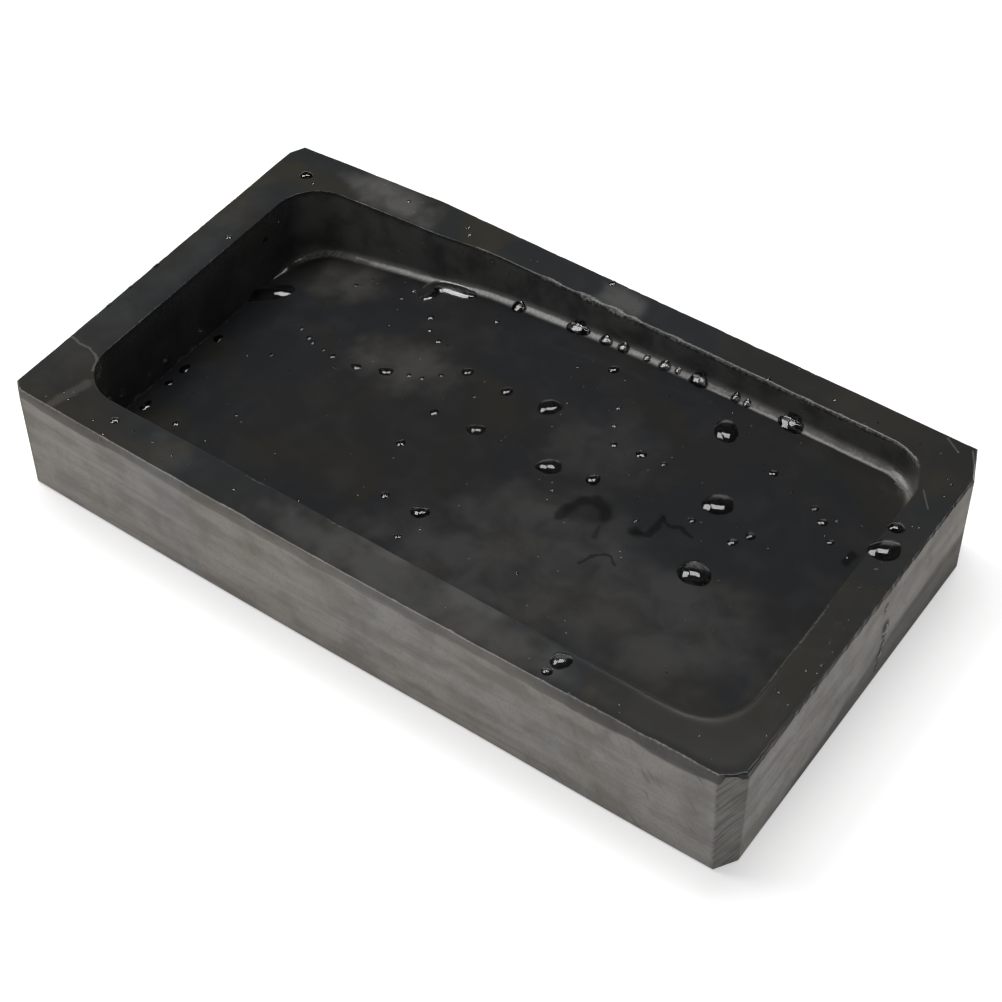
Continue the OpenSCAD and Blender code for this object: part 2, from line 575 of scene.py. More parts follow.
    def build(self) -> bpy.types.Material:
        """Makes the slate's material from its patterns and what is painted on the mesh.

        Returns:
            The finished material.
        """
        s = Shader(bpy.data.materials.new(self.name))
        p = self._patterns(s)
        film, wet = s.band(p["wetness"], 0.38, 0.72), s.band(p["wetness"], 0.75, 1.0)
        colour = s.mix(p["damp"], self._dry(s, p), self._damp(s, p, wet))
        relief = {"Strength": 1.0, "Distance": MM, "Height": self._relief(s, p)}
        rough = s.math("MULTIPLY_ADD", film, self.wet_roughness - self.dry_roughness, self.dry_roughness)
        chalky = s.math("MULTIPLY_ADD", p["silt_and_highlight"], 0.5, p["worn"])
        inputs = {
            "Base Color": self._worn(s, p, colour),
            "Roughness": s.math("MULTIPLY_ADD", chalky, 0.4, rough),
            "IOR": self.ior,
            "Normal": s.node("ShaderNodeBump", None, relief).outputs["Normal"],
        }
        return s.finish(s.node("ShaderNodeBsdfPrincipled", None, inputs).outputs[0])


@dataclass(frozen=True)
class ClearWater:
    """Tap water standing in drops: clear and glossy, dark over black stone, with a tint of painted shade."""

    name: str = "clear_water"
    # painted shade: darkens what shows through the drops, partly standing for the stone they have soaked
    tint: str = "#b3b3b3"
    ior: float = 1.333
    gloss: float = 1.0
    coat: float = 0.6

    def build(self) -> bpy.types.Material:
        """Makes the water's material.

        It has more gloss than real water, as the lamps here are gentler than those whose highlights show on
        real drops, and a grey tint: painted shade that darkens the drops, partly for the soaked stone under
        them.

        Returns:
            The finished material.
        """
        s = Shader(bpy.data.materials.new(self.name))
        inputs = {
            "Base Color": linear(self.tint),
            "Roughness": 0.0,
            "IOR": self.ior,
            "Specular IOR Level": self.gloss,
            "Coat Weight": self.coat,
            "Coat Roughness": 0.0,
            "Transmission Weight": 1.0,
        }
        return s.finish(s.node("ShaderNodeBsdfPrincipled", None, inputs).outputs[0])


@dataclass(frozen=True)
class LightTable:
    """Matt acrylic of a product photographer's table: white, and lit a little from below, so that it takes
    only a faint soft shadow."""

    name: str = "light_table"
    colour: str = "#dcdbdb"
    glow: float = 0.50

    def build(self) -> bpy.types.Material:
        """Makes the table's material: matt, with its glow for the camera and for reflections.

        Returns:
            The finished material.
        """
        s = Shader(bpy.data.materials.new(self.name))
        matt = s.node("ShaderNodeBsdfDiffuse", None, {"Color": linear(self.colour)}).outputs[0]
        seen = s.rays("Camera", "Glossy", "Transmission")
        glow = s.node("ShaderNodeEmission", None, {"Strength": s.math("MULTIPLY", seen, self.glow)})
        return s.finish(s.node("ShaderNodeAddShader", None, {0: matt, 1: glow.outputs[0]}).outputs[0])


@dataclass(frozen=True)
class DimRoom:
    """The photographer's room: dim even light from all round, a low white backdrop behind the table, and a
    dark ceiling, which is what the drops and the wet stone reflect."""

    name: str = "dim_room"
    light: float = 0.30
    backdrop: float = 1.0
    ceiling: float = 0.06
    backdrop_top: float = 0.02
    ceiling_edge: float = 0.20

    def build(self) -> bpy.types.World:
        """Makes the room as the world's light.  Its heights are sines of the elevation.

        Returns:
            The world.
        """
        s = Shader(bpy.data.worlds.new(self.name))
        up = s.node("ShaderNodeSeparateXYZ", None, {0: s.place["Generated"]}).outputs["Z"]
        white = s.band(up, self.ceiling_edge, self.backdrop_top)
        mirrored = s.math("MULTIPLY_ADD", white, self.backdrop - self.ceiling, self.ceiling)
        change = s.math("SUBTRACT", mirrored, self.light)
        strength = s.math("MULTIPLY_ADD", s.rays("Glossy", "Transmission"), change, self.light)
        strength = s.math("MULTIPLY_ADD", s.rays("Camera"), self.backdrop - self.light, strength)
        return s.finish(s.node("ShaderNodeBackground", None, {"Strength": strength}).outputs[0])


# ---------------------------------------------------------------------------------------------- the stone


@dataclass(frozen=True)
class StoneSizes:
    """The stone's own sizes.  Its overall size comes from the frame."""

    length: float
    width: float
    height: float
    front_bow: float = 1.1
    back_taper: float = 3.2
    back_taper_length: float = 44.0
    rim_left: float = 10.8
    rim_right: float = 9.2
    rim_front: float = 11.2
    rim_back: float = 9.3
    rim_back_left: float = 11.7
    rim_back_run: float = 26.0
    pool_radius: float = 12.0
    wall_draft: float = math.radians(2)
    land_depth: float = 8.2
    land_length: float = 42.0
    sea_depth: float = 21.5
    fillet_wall_radius: float = 1.4
    fillet_floor_radius: float = 4.9
    fillet_turn: float = math.radians(32)
    fillet_floor_tilt: float = math.radians(6)
    fillet_left_share: float = 0.02
    fillet_rows: int = 12

    @property
    def left(self) -> float:
        """X of the left end."""
        return -self.length / 2

    @property
    def right(self) -> float:
        """X of the right end."""
        return self.length / 2

    @property
    def front(self) -> float:
        """Y of the front face in its middle."""
        return -self.width / 2

    @property
    def pool_left(self) -> float:
        """X of the pool's left wall at its mouth."""
        return self.left + self.rim_left

    @property
    def pool_right(self) -> float:
        """X of the pool's right wall at its mouth."""
        return self.right - self.rim_right

    @property
    def pool_front(self) -> float:
        """Y of the pool's front wall at its mouth."""
        return self.front + self.rim_front

    def front_face(self, x: np.ndarray) -> np.ndarray:
        """Y of the bowed front face at x."""
        return self.front + self.front_bow * (np.asarray(x) / self.right) ** 2

    def back_face(self, x: np.ndarray) -> np.ndarray:
        """Y of the back face at x, drawn in towards the left end."""
        inside = np.maximum(0.0, self.left + self.back_taper_length - np.asarray(x))
        return self.width / 2 - self.back_taper * inside / self.back_taper_length

    def pool_back(self, x: np.ndarray) -> np.ndarray:
        """Y of the pool's back wall at its mouth, where the rim widens towards its left end.

        Args:
            x: where along the stone.

        Returns:
            Y at each x.
        """
        start = self.left + self.back_taper_length
        wide = smoothstep(start + self.rim_back_run, start, x)
        return self.back_face(x) - self.rim_back - (self.rim_back_left - self.rim_back) * wide

    def floor_depth(self, x: np.ndarray) -> np.ndarray:
        """Depth of the pool's floor: level on the land, then steeper and steeper down to the sea.

        Args:
            x: where along the stone.

        Returns:
            The depth below the rim at each x.
        """
        land_start = self.pool_right - self.land_length
        share = np.maximum(0.0, land_start - np.asarray(x)) / (land_start - self.pool_left)
        return self.land_depth + (self.sea_depth - self.land_depth) * share**2

    def floor_z(self, x: np.ndarray) -> np.ndarray:
        """Height of the pool's floor at x."""
        return self.height - self.floor_depth(x)

    def fillet(self) -> tuple[np.ndarray, np.ndarray]:
        """Profile of the hollow between the pool's wall and its floor.

        Returns:
            How far in from the wall, and how far up from the floor, from the wall down to the floor.
        """
        half = self.fillet_rows // 2
        steep = np.linspace(math.pi / 2 - self.wall_draft, self.fillet_turn, half + 1)
        shallow = np.linspace(self.fillet_turn, self.fillet_floor_tilt, half + 1)
        tilt = np.concatenate([steep, shallow[1:]])
        step = -np.diff(tilt) * np.repeat([self.fillet_wall_radius, self.fillet_floor_radius], half)
        middle = (tilt[1:] + tilt[:-1]) / 2
        reach = np.concatenate([[0.0], np.cumsum(np.cos(middle) * step)])
        fall = np.concatenate([[0.0], np.cumsum(np.sin(middle) * step)])
        return reach, fall[-1] - fall

    def fillet_share(self, x: np.ndarray, y: np.ndarray) -> np.ndarray:
        """Tells how large the hollow is, as it is tight along the pool's left wall.

        Args:
            x: where along the stone.
            y: where across it.

        Returns:
            Its size as a share of the full one.
        """
        beside_wall, clear_of_wall = 3.0, 9.0
        out_of_corner, in_corner = 17.0, 11.0
        left = smoothstep(self.pool_left + clear_of_wall, self.pool_left + beside_wall, x)
        straight = smoothstep(self.pool_back(x) - in_corner, self.pool_back(x) - out_of_corner, y)
        return 1 - (1 - self.fillet_left_share) * left * straight

    def wall_inset(self, x: np.ndarray) -> np.ndarray:
        """How far the wall has come in where it meets the fillet."""
        return (self.floor_depth(x) - self.fillet()[1][0]) * math.tan(self.wall_draft)

    def pool_surface(self, x: np.ndarray, y: np.ndarray) -> np.ndarray:
        """Height of the pool's floor, or of the fillet or the foot of the wall beside it.

        Args:
            x: where along the stone.
            y: where across it.

        Returns:
            Z at each place.
        """
        radius, wall_foot = self.pool_radius, 0.8
        beyond_x = np.maximum(self.pool_left + radius - x, x - self.pool_right + radius)
        beyond_y = np.maximum(self.pool_front + radius - y, y - self.pool_back(x) + radius)
        corner = np.hypot(np.maximum(beyond_x, 0), np.maximum(beyond_y, 0))
        inside = radius - corner - np.minimum(np.maximum(beyond_x, beyond_y), 0) - self.wall_inset(x)
        reach, rise = self.fillet()
        share = self.fillet_share(x, y)
        up_wall = np.minimum(wall_foot, np.maximum(0.0, -inside) / math.tan(self.wall_draft))
        hollow = share * np.interp(inside / share, reach, rise)
        return np.minimum(self.height, self.floor_z(x) + hollow + up_wall)


@dataclass(frozen=True)
class Corner:
    """A filed upright corner: how far its facet reaches along and across the stone, above and below."""

    along_top: float
    across_top: float
    along_base: float
    across_base: float

    def reach(self, share: float) -> tuple[float, float]:
        """Tells how large the facet is at some height.

        Args:
            share: the height as a share, from 0 at the base to 1 on top.

        Returns:
            How far it reaches along and across the stone.
        """
        along = self.along_base + (self.along_top - self.along_base) * share
        across = self.across_base + (self.across_top - self.across_base) * share
        return along, across


@dataclass(frozen=True)
class Chip:
    """A flake broken off an edge: its middle, how long it is and how deep it bites."""

    x: float
    y: float
    length: float
    bite: float


@dataclass(frozen=True)
class Patch:
    """A soft-edged patch on the stone's upper side: its middle, its reach along and across the stone, and
    its strength."""

    x: float
    y: float
    along: float
    across: float
    strength: float = 1.0


@dataclass
class Loop:
    """One loop of points round the stone, with what is painted on it."""

    points: np.ndarray
    wetness: np.ndarray | float = 0.0
    worn: np.ndarray | float = 0.0
    filed: np.ndarray | float = 0.0
    haze_and_sheen: np.ndarray | float = 0.0
    silt_and_highlight: np.ndarray | float = 0.0


@dataclass(frozen=True)
class LoopPlan:
    """How many points a loop round the stone has on each stretch: half a corner, its facet, each side."""

    half_corner: int = 34
    half_facet: int = 12
    long_side: int = 296
    short_side: int = 120

    @property
    def count(self) -> int:
        """Points in a whole loop."""
        return 8 * self.half_corner + 2 * (self.long_side + self.short_side)

    def knots(self, straight: int) -> list[int]:
        """Point numbers along one side where its facets and its straight stretch begin and end."""
        end = 2 * self.half_corner + straight
        return [0, self.half_facet, self.half_corner, end - self.half_corner, end - self.half_facet, end]


@dataclass
class Stone:
    """The slate block: sawn faces, filed corners and edges, and the carved pool."""

    sizes: StoneSizes
    finish: RinsedSlate
    plan: LoopPlan = LoopPlan()
    front_left: Corner = Corner(2.6, 2.4, 2.6, 2.4)
    front_right: Corner = Corner(5.0, 3.8, 3.2, 5.0)
    back_right: Corner = Corner(3.9, 9.2, 3.9, 8.0)
    back_left: Corner = Corner(2.0, 4.0, 2.4, 3.6)
    front_shoulder_in: float = 0.45
    front_shoulder_down: float = 3.2
    front_lean: float = 0.9
    shoulder_damp: tuple[tuple[float, ...], ...] = (
        (-95.0, -80.0, -70.0, -60.0, 45.0, 60.0, 80.0),
        (0.38, 0.42, 0.40, 0.30, 0.31, 0.43, 0.47),
    )
    # how high the darker foot of the right face reaches, at points across it
    darker_foot: tuple[tuple[float, ...], ...] = (
        (-50.0, -38.0, -15.0, 8.0, 38.0),
        (-4.0, 1.0, 5.0, 11.5, 14.5),
    )
    # How wet each part is, from 0 for dry through moist and damp stone to 1 for wet stone.
    # how dark the foot of the right face is painted, on this scale
    foot_darkening: float = 0.38
    damp_rim: float = 0.72
    damp_mouth: float = 0.76
    damp_wall: float = 0.85
    # Where the pool's mouth has worn most: x along its back, y at both ends of a stretch of its right end,
    # and how much its front has worn as a share of that.
    worn_back: tuple[float, float] = (-50.0, 10.0)
    worn_end_front: tuple[float, float] = (-42.0, -22.0)
    worn_end_back: tuple[float, float] = (-1.0, -5.0)
    worn_front: float = 0.6
    # The front face is scratched from left to right between these x, and a little everywhere.
    scored_front: tuple[float, float] = (35.0, 75.0)
    scored_least: float = 0.35
    scored_end: float = 0.6
    # painted light on the pool's walls: all lifted a little, and most the back wall, which faces the brighter
    # room
    wall_painted_light: float = 0.18
    back_wall_painted_light: float = 0.80
    # silt and painted highlight in the hollow along the pool's back, more in the back-left corner, where the
    # walls hide the lamps
    cove_silt_and_highlight: float = 0.36
    corner_silt_and_highlight: float = 0.55
    top_bevel: float = 0.5
    base_bevel: float = 0.6
    mouth_across: float = 0.9
    mouth_down: float = 0.6
    wall_rows: int = 16
    bevel_rows: int = 10
    rim_steps: tuple[float, ...] = (
        *(0.02, 0.06, 0.12),
        *(0.2, 0.3, 0.4, 0.5, 0.6, 0.7, 0.8),
        *(0.88, 0.94, 0.98, 1.0),
    )
    mouth_rows: int = 5
    pool_wall_rows: int = 10
    # Unevenness of the hand work, and the wandering outlines of what is painted on it.
    bevel_inward_waves: tuple[Wave, ...] = ((0.30, 11.0, 1), (0.14, 2.6, 2))
    bevel_down_waves: tuple[Wave, ...] = ((0.34, 12.0, 4), (0.10, 3.0, 5))
    mouth_waves: tuple[Wave, ...] = ((0.30, 9.0, 31), (0.10, 1.8, 32))
    rim_waves: tuple[Wave, ...] = ((0.03, 26.0, 33), (0.004, 6.0, 34))
    fillet_waves: tuple[Wave, ...] = ((0.06, 5.0, 42), (0.03, 1.5, 43))
    floor_waves: tuple[Wave, ...] = ((0.03, 24.0, 51), (0.003, 5.0, 52))
    patch_waves: tuple[Wave, ...] = ((0.25, 7.0, 61), (0.15, 2.5, 62))
    edge_flakes: tuple[Chip, ...] = (
        Chip(-31.0, -56.8, 9.0, 0.5),
        Chip(66.0, -56.4, 16.0, 0.5),
        Chip(84.0, -56.2, 12.0, 0.6),
        Chip(100.0, -42.0, 16.0, 0.5),
        Chip(100.0, -50.0, 7.0, 0.8),
        Chip(100.0, 42.0, 8.0, 0.4),
        Chip(99.0, 50.0, 7.0, 0.5),
    )
    mouth_flakes: tuple[Chip, ...] = (
        Chip(-36.9, 46.0, 5.0, 0.3),
        Chip(-16.0, 47.0, 6.0, 0.4),
        Chip(-5.0, 47.5, 7.0, 0.7),
        Chip(3.0, 47.5, 5.0, 0.6),
        Chip(8.5, 47.5, 3.0, 0.5),
        Chip(20.1, 47.5, 4.0, 0.3),
        Chip(56.0, 47.5, 4.0, 0.3),
        Chip(-33.5, -45.6, 6.0, 0.4),
        Chip(-10.6, -45.6, 5.0, 0.5),
    )
    # drying haze, and painted sheen where the lamps' reflection spreads on the wet rim and floor
    haze_and_sheen: tuple[Patch, ...] = (
        Patch(-66.0, 50.5, 17.0, 9.0, 0.62),
        Patch(2.0, 51.5, 9.0, 6.0, 0.5),
        Patch(3.0, -45.0, 11.0, 5.0, 0.5),
        Patch(28.0, -46.0, 16.0, 6.0, 0.5),
        Patch(-96.0, -30.0, 9.0, 30.0, 0.12),
        Patch(-55.0, -51.0, 10.0, 8.0, 0.15),
        Patch(14.0, -51.0, 54.0, 9.0, 0.34),
        Patch(-96.0, 0.0, 7.0, 60.0, 0.10),
        Patch(60.0, -22.0, 34.0, 22.0, 0.20),
        Patch(28.0, -18.0, 32.0, 26.0, 0.20),
        Patch(-36.0, 13.5, 19.0, 11.0, 0.24),
        Patch(-70.0, 34.0, 15.0, 11.0, 0.24),
        Patch(22.0, 14.0, 20.0, 15.0, 0.12),
        Patch(18.0, -33.0, 42.0, 13.0, 0.20),
    )
    olive: tuple[Patch, ...] = (
        Patch(-88.0, -42.0, 9.0, 7.0, 0.8),
        Patch(76.9, -40.0, 16.0, 14.0, 0.8),
        Patch(-38.0, 14.0, 19.0, 11.0, 0.8),
        Patch(-70.0, 34.0, 15.0, 11.0, 0.9),
        Patch(72.0, 53.0, 18.0, 8.0, 0.8),
        Patch(84.0, -48.0, 26.0, 14.0, 0.5),
        Patch(94.0, -25.0, 12.0, 26.0, 0.7),
    )
    sharp_angle: float = math.radians(32)
    seed: int = 11

    def _outer_loop(self, share: float) -> np.ndarray:
        """Outline of the slab at a share of its height, counter-clockwise from the front left facet.

        Args:
            share: from 0 at the base to 1 on top.

        Returns:
            plan.count points of x and y.
        """
        s, lean_start = self.sizes, 20.0
        a_along, a_across = self.front_left.reach(share)
        d_along, d_across = self.front_right.reach(share)
        c_along, c_across = self.back_right.reach(share)
        b_along, b_across = self.back_left.reach(share)

        def front(x: np.ndarray) -> np.ndarray:
            """Y of the front face at this height: it leans out a little at the foot of its right half."""
            return s.front_face(x) - (1 - share) * self.front_lean * smoothstep(lean_start, s.right, x)

        a2, d1 = s.left + a_along, s.right - d_along
        c2, b1 = s.right - c_along, s.left + b_along
        a = ((s.left, float(front(s.left)) + a_across), (a2, float(front(a2))))
        d = ((d1, float(front(d1))), (s.right, float(front(s.right)) + d_across))
        c = ((s.right, float(s.back_face(s.right)) - c_across), (c2, float(s.back_face(c2))))
        b = ((b1, float(s.back_face(b1))), (s.left, float(s.back_face(s.left)) - b_across))
        near, far = s.pool_left + s.pool_radius, s.pool_right - s.pool_radius
        low = s.pool_front + s.pool_radius
        high_near, high_far = (float(s.pool_back(x)) - s.pool_radius for x in (near, far))
        long_side, short_side = self.plan.long_side, self.plan.short_side
        sides = (
            (a, near, far, d, 0, front, long_side),
            (d, low, high_far, c, 1, lambda y: s.right + 0 * y, short_side),
            (c, far, near, b, 0, s.back_face, long_side),
            (b, high_near, low, a, 1, lambda y: s.left + 0 * y, short_side),
        )
        return np.concatenate([self._outer_side(*side) for side in sides])

    def _outer_side(
        self,
        first: tuple[tuple[float, float], ...],
        start: float,
        end: float,
        last: tuple[tuple[float, float], ...],
        axis: int,
        face: Callable[[np.ndarray], np.ndarray],
        straight: int,
    ) -> np.ndarray:
        """One side of the slab's outline, from the middle of one corner facet to that of the next.

        Args:
            first: both ends of the facet before this side.
            start: where the pool's straight wall beside this side starts.
            end: where it ends.
            last: both ends of the facet after it.
            axis: 0 where the side runs along X, 1 along Y.
            face: the side's other coordinate, from the one along it.
            straight: points on the straight stretch.

        Returns:
            The side's points, without the last.
        """
        knots = self.plan.knots(straight)
        index = np.arange(knots[-1])
        other = 1 - axis
        before, after = (np.array(facet).mean(axis=0) for facet in (first, last))
        stops = [before[axis], first[1][axis], start, end, last[0][axis], after[axis]]
        along = np.interp(index, knots, stops)
        across = face(along)
        in_first, in_last = index < knots[1], index > knots[4]
        across[in_first] = np.interp(index[in_first], knots[:2], [before[other], first[1][other]])
        across[in_last] = np.interp(index[in_last], knots[4:], [last[0][other], after[other]])
        return np.stack([along, across] if axis == 0 else [across, along], axis=1)

    def _facets(self) -> np.ndarray:
        """Paints the filed corner facets.

        Returns:
            For each point of a loop, 1 on a facet and 0 elsewhere.
        """
        filed = np.zeros(self.plan.count)
        middle = 0
        for straight in (self.plan.long_side, self.plan.short_side) * 2:
            reach = np.arange(-self.plan.half_facet, self.plan.half_facet + 1)
            filed[(middle + reach) % self.plan.count] = 1.0
            middle += 2 * self.plan.half_corner + straight
        return filed

    def _pool_stations(self) -> tuple[np.ndarray, np.ndarray]:
        """Where the pool's wall turns about, and which way it faces out, at each point of a loop.

        Returns:
            The centres and the outward directions.
        """
        s, plan = self.sizes, self.plan
        left, right = s.pool_left + s.pool_radius, s.pool_right - s.pool_radius
        low = s.pool_front + s.pool_radius
        high_left, high_right = (float(s.pool_back(x)) - s.pool_radius for x in (left, right))
        runs = (
            (225, left, right, None, plan.long_side),
            (315, low, high_right, right, plan.short_side),
            (45, right, left, None, plan.long_side),
            (135, high_left, low, left, plan.short_side),
        )
        centres, angles = [], []
        for angle, start, end, fixed_x, straight in runs:
            knots = plan.knots(straight)
            index = np.arange(knots[-1])
            stops = [knots[0], knots[2], knots[3], knots[-1]]
            turn = np.interp(index, stops, [angle, angle + 45, angle + 45, angle + 90])
            along = np.interp(index, knots[2:4], [start, end])
            if fixed_x is not None:
                centres.append(np.stack([fixed_x + 0 * along, along], axis=1))
            else:
                y = low + 0 * along if angle > 180 else s.pool_back(along) - s.pool_radius
                centres.append(np.stack([along, y], axis=1))
            angles.append(np.radians(turn))
        angle = np.concatenate(angles)
        return np.concatenate(centres), np.stack([np.cos(angle), np.sin(angle)], axis=1)

    def _pool_loop(self, inset: float | np.ndarray) -> np.ndarray:
        """Outline of the pool, moved in from its mouth.

        Args:
            inset: how far in it lies, or how far at each point.

        Returns:
            plan.count points of x and y.
        """
        centre, outward = self._pool_stations()
        radius = self.sizes.pool_radius - np.broadcast_to(inset, (len(centre),))
        return centre + outward * radius[:, None]

    @staticmethod
    def _inward(loop: np.ndarray) -> np.ndarray:
        """Tells which way is into a loop, with a length that keeps a bevel's width round its corners.

        Args:
            loop: its points of x and y, counter-clockwise.

        Returns:
            The direction at each point.
        """
        ahead = np.roll(loop, -1, axis=0) - loop
        ahead /= np.linalg.norm(ahead, axis=1)[:, None]
        normal = np.stack([-ahead[:, 1], ahead[:, 0]], axis=1)
        both = normal + np.roll(normal, 1, axis=0)
        return 2 * both / (both**2).sum(axis=1)[:, None]

    @staticmethod
    def _flat(loop: np.ndarray) -> np.ndarray:
        """The loop's points of x and y with a z of 0, to read noise at."""
        return np.c_[loop[:, :2], np.zeros(len(loop))]

    @staticmethod
    def _bites(loop: np.ndarray, chips: list[Chip]) -> np.ndarray:
        """Tells how deep flakes bite into an edge.

        Args:
            loop: the edge's points.
            chips: the flakes.

        Returns:
            The depth at each point.
        """
        bite = np.zeros(len(loop))
        for chip in chips:
            away = np.hypot(loop[:, 0] - chip.x, loop[:, 1] - chip.y) / (chip.length / 2)
            bite = np.maximum(bite, chip.bite * np.sqrt(np.clip(1 - away**2, 0, 1)))
        return bite

    def _small_chips(self, loop: np.ndarray, count: int, longest: float, deepest: float) -> list[Chip]:
        """Strews small flakes along an edge.

        Args:
            loop: the edge's points of x and y.
            count: how many flakes.
            longest: how long the longest is.
            deepest: how deep the deepest bites.

        Returns:
            The flakes.
        """
        random = np.random.default_rng([self.seed, count])
        picks = random.integers(0, len(loop), count)
        size = random.uniform(0.25, 1.0, (count, 2)) * (longest, deepest)
        return [Chip(*loop[i], *s) for i, s in zip(picks, size)]

    def _legs(self, loop: np.ndarray) -> tuple[np.ndarray, np.ndarray, np.ndarray]:
        """How far the worn top edge reaches in along the rim and down the face, at each point.

        Args:
            loop: the slab's outline on top.

        Returns:
            The reach inwards, the reach downwards, and a share that is 1 along the front.
        """
        s, at = self.sizes, self._flat(loop)
        bite_inward, end_depth = 0.45, 1.0
        front = smoothstep(s.front + 2.0, s.front + 1.2, loop[:, 1])
        inward = self.top_bevel + (self.front_shoulder_in - self.top_bevel) * front
        down = self.top_bevel + (self.front_shoulder_down - self.top_bevel) * front
        inward = inward * (1 + waves_at(at, *self.bevel_inward_waves))
        down = down * (1 + waves_at(at, *self.bevel_down_waves))
        end = loop[loop[:, 0] > s.right - end_depth]
        strewn = [*self._small_chips(loop, 90, 2.6, 0.25), *self._small_chips(end, 60, 3.0, 0.9)]
        bite = self._bites(loop, [*self.edge_flakes, *strewn])
        ragged = 1 + 0.4 * noise_at(at, 1.3, 6)
        return inward + bite_inward * bite * ragged, down + bite * ragged, front

    def _side_loops(self) -> list[Loop]:
        """Makes the loops up the outside of the slab, from the base's edge over the worn top edge.

        Returns:
            The loops, the last one at the rim.
        """
        s = self.sizes
        soft, base_wear, striae_depth = 1.5, 0.3, 0.04
        knee, knee_share, knee_height = 0.7, 0.45, 0.45
        top, base, filed = self._outer_loop(1.0), self._outer_loop(0.0), self._facets()
        top_in, base_in = self._inward(top), self._inward(base)
        reach_in, reach_down, front = self._legs(top)
        foot = np.interp(base[:, 1], *self.darker_foot) + 1.2 * noise_at(self._flat(base), 9.0, 8)
        right = smoothstep(s.right - soft, s.right - 0.5, base[:, 0])
        loops = []
        for share in (0.0, 0.5, 1.0):
            ring = base + base_in * (self.base_bevel * (1 - share))
            points = np.c_[ring, np.full(len(ring), self.base_bevel * share)]
            loops.append(Loop(points, self.foot_darkening * right * (foot > 1), base_wear * (1 - share), filed))
        for share in np.linspace(0, 1, self.wall_rows + 1)[1:]:
            z = self.base_bevel + share * (s.height - reach_down - self.base_bevel)
            ring = base + (top - base) * (z / s.height)[:, None]
            # the right face darker towards its foot
            damp = self.foot_darkening * right * smoothstep(foot + soft, foot - soft, z)
            loops.append(Loop(np.c_[ring, z], damp, 0.0, filed))
        ends = np.interp(top[:, 0], *self.shoulder_damp)
        knee_in, knee_down = knee_share * reach_in, np.minimum(knee_height, 0.5 * reach_down)
        for row in range(1, self.bevel_rows + 1):
            t = row / self.bevel_rows
            along, turn = min(1.0, t / knee), max(0.0, t - knee) / (1 - knee) * math.pi / 2
            inset = knee_in * along + (reach_in - knee_in) * (1 - math.cos(turn))
            z = s.height - reach_down + (reach_down - knee_down) * along + knee_down * math.sin(turn)
            striae = striae_depth * front * math.sin(math.pi * t) * noise_at(self._flat(top), 14.0, 20 + row)
            points = np.c_[top + top_in * (inset + striae)[:, None], z]
            rubbed = np.clip(0.30 + 0.5 * noise_at(points, 5.0, 9), 0, 1)
            worn = 0.04 + front * rubbed * math.sin(turn)
            wet = self.damp_rim + (ends * min(1.0, 0.75 + t) - self.damp_rim) * front
            loops.append(Loop(points, wet, worn, 0.3 * filed))
        return loops

    def _rim_loops(self, edge: np.ndarray) -> list[Loop]:
        """Loops across the rim and down over the worn mouth of the pool.

        Args:
            edge: the last loop of the top edge.

        Returns:
            The loops, the last one at the mouth.
        """
        s, least_wear = self.sizes, 0.06
        mouth = self._pool_loop(0.0)
        at = self._flat(mouth)
        outward = self._pool_stations()[1]
        back = smoothstep(0.5, 0.8, outward[:, 1]) * smoothstep(*self.worn_back, mouth[:, 0])
        y_share = smoothstep(*self.worn_end_back, mouth[:, 1]) * smoothstep(*self.worn_end_front, mouth[:, 1])
        end = smoothstep(0.6, 0.9, outward[:, 0]) * y_share
        front = self.worn_front * smoothstep(-0.5, -0.8, outward[:, 1])
        used = np.maximum(np.maximum(back, end), front)
        uneven = np.maximum(least_wear, 0.14 + 0.86 * used + waves_at(at, *self.mouth_waves))
        bite = self._bites(mouth, [*self.mouth_flakes, *self._small_chips(mouth, 60, 2.0, 0.25)])
        across, down = self.mouth_across * uneven + bite, self.mouth_down * uneven + 0.8 * bite
        outer, inner = edge[:, :2], self._pool_loop(-across)
        crumbled = 0.02 + 0.24 * np.maximum(back, end) + 0.40 * np.minimum(1.0, bite / 0.7)
        hollow = self.rim_waves[0][0]
        loops = []
        for t in self.rim_steps:
            ring = outer + (inner - outer) * t
            wave = waves_at(self._flat(ring), *self.rim_waves) - hollow
            sit = float(smoothstep(0.0, 0.12, min(t, 1 - t)))
            loops.append(Loop(np.c_[ring, s.height + wave * sit], self.damp_rim))
        for row in range(1, self.mouth_rows + 1):
            turn = row / self.mouth_rows * math.pi / 2
            ring = self._pool_loop(-across * (1 - math.sin(turn)))
            z = s.height - down * (1 - math.cos(turn))
            loops.append(Loop(np.c_[ring, z], self.damp_mouth, crumbled * math.sin(turn)))
        return loops

    def _wall_loops(self, mouth_z: np.ndarray) -> list[Loop]:
        """Makes the loops down the pool's wall and round its fillet.

        Args:
            mouth_z: height of the worn mouth's foot at each point.

        Returns:
            The loops, the last one at the edge of the floor.
        """
        s, wall_hollow = self.sizes, 0.10
        mouth = self._pool_loop(0.0)
        wall_in = s.wall_inset(mouth[:, 0])
        share = s.fillet_share(mouth[:, 0], mouth[:, 1])
        back = smoothstep(0.1, 0.8, self._pool_stations()[1][:, 1])
        # painted light on the walls, strongest on the back wall
        haze_and_sheen = self.wall_painted_light + (self.back_wall_painted_light - 0.05 * mouth[:, 0] / s.right) * back
        corner = smoothstep(s.pool_left + 16, s.pool_left + 7, mouth[:, 0]) * back
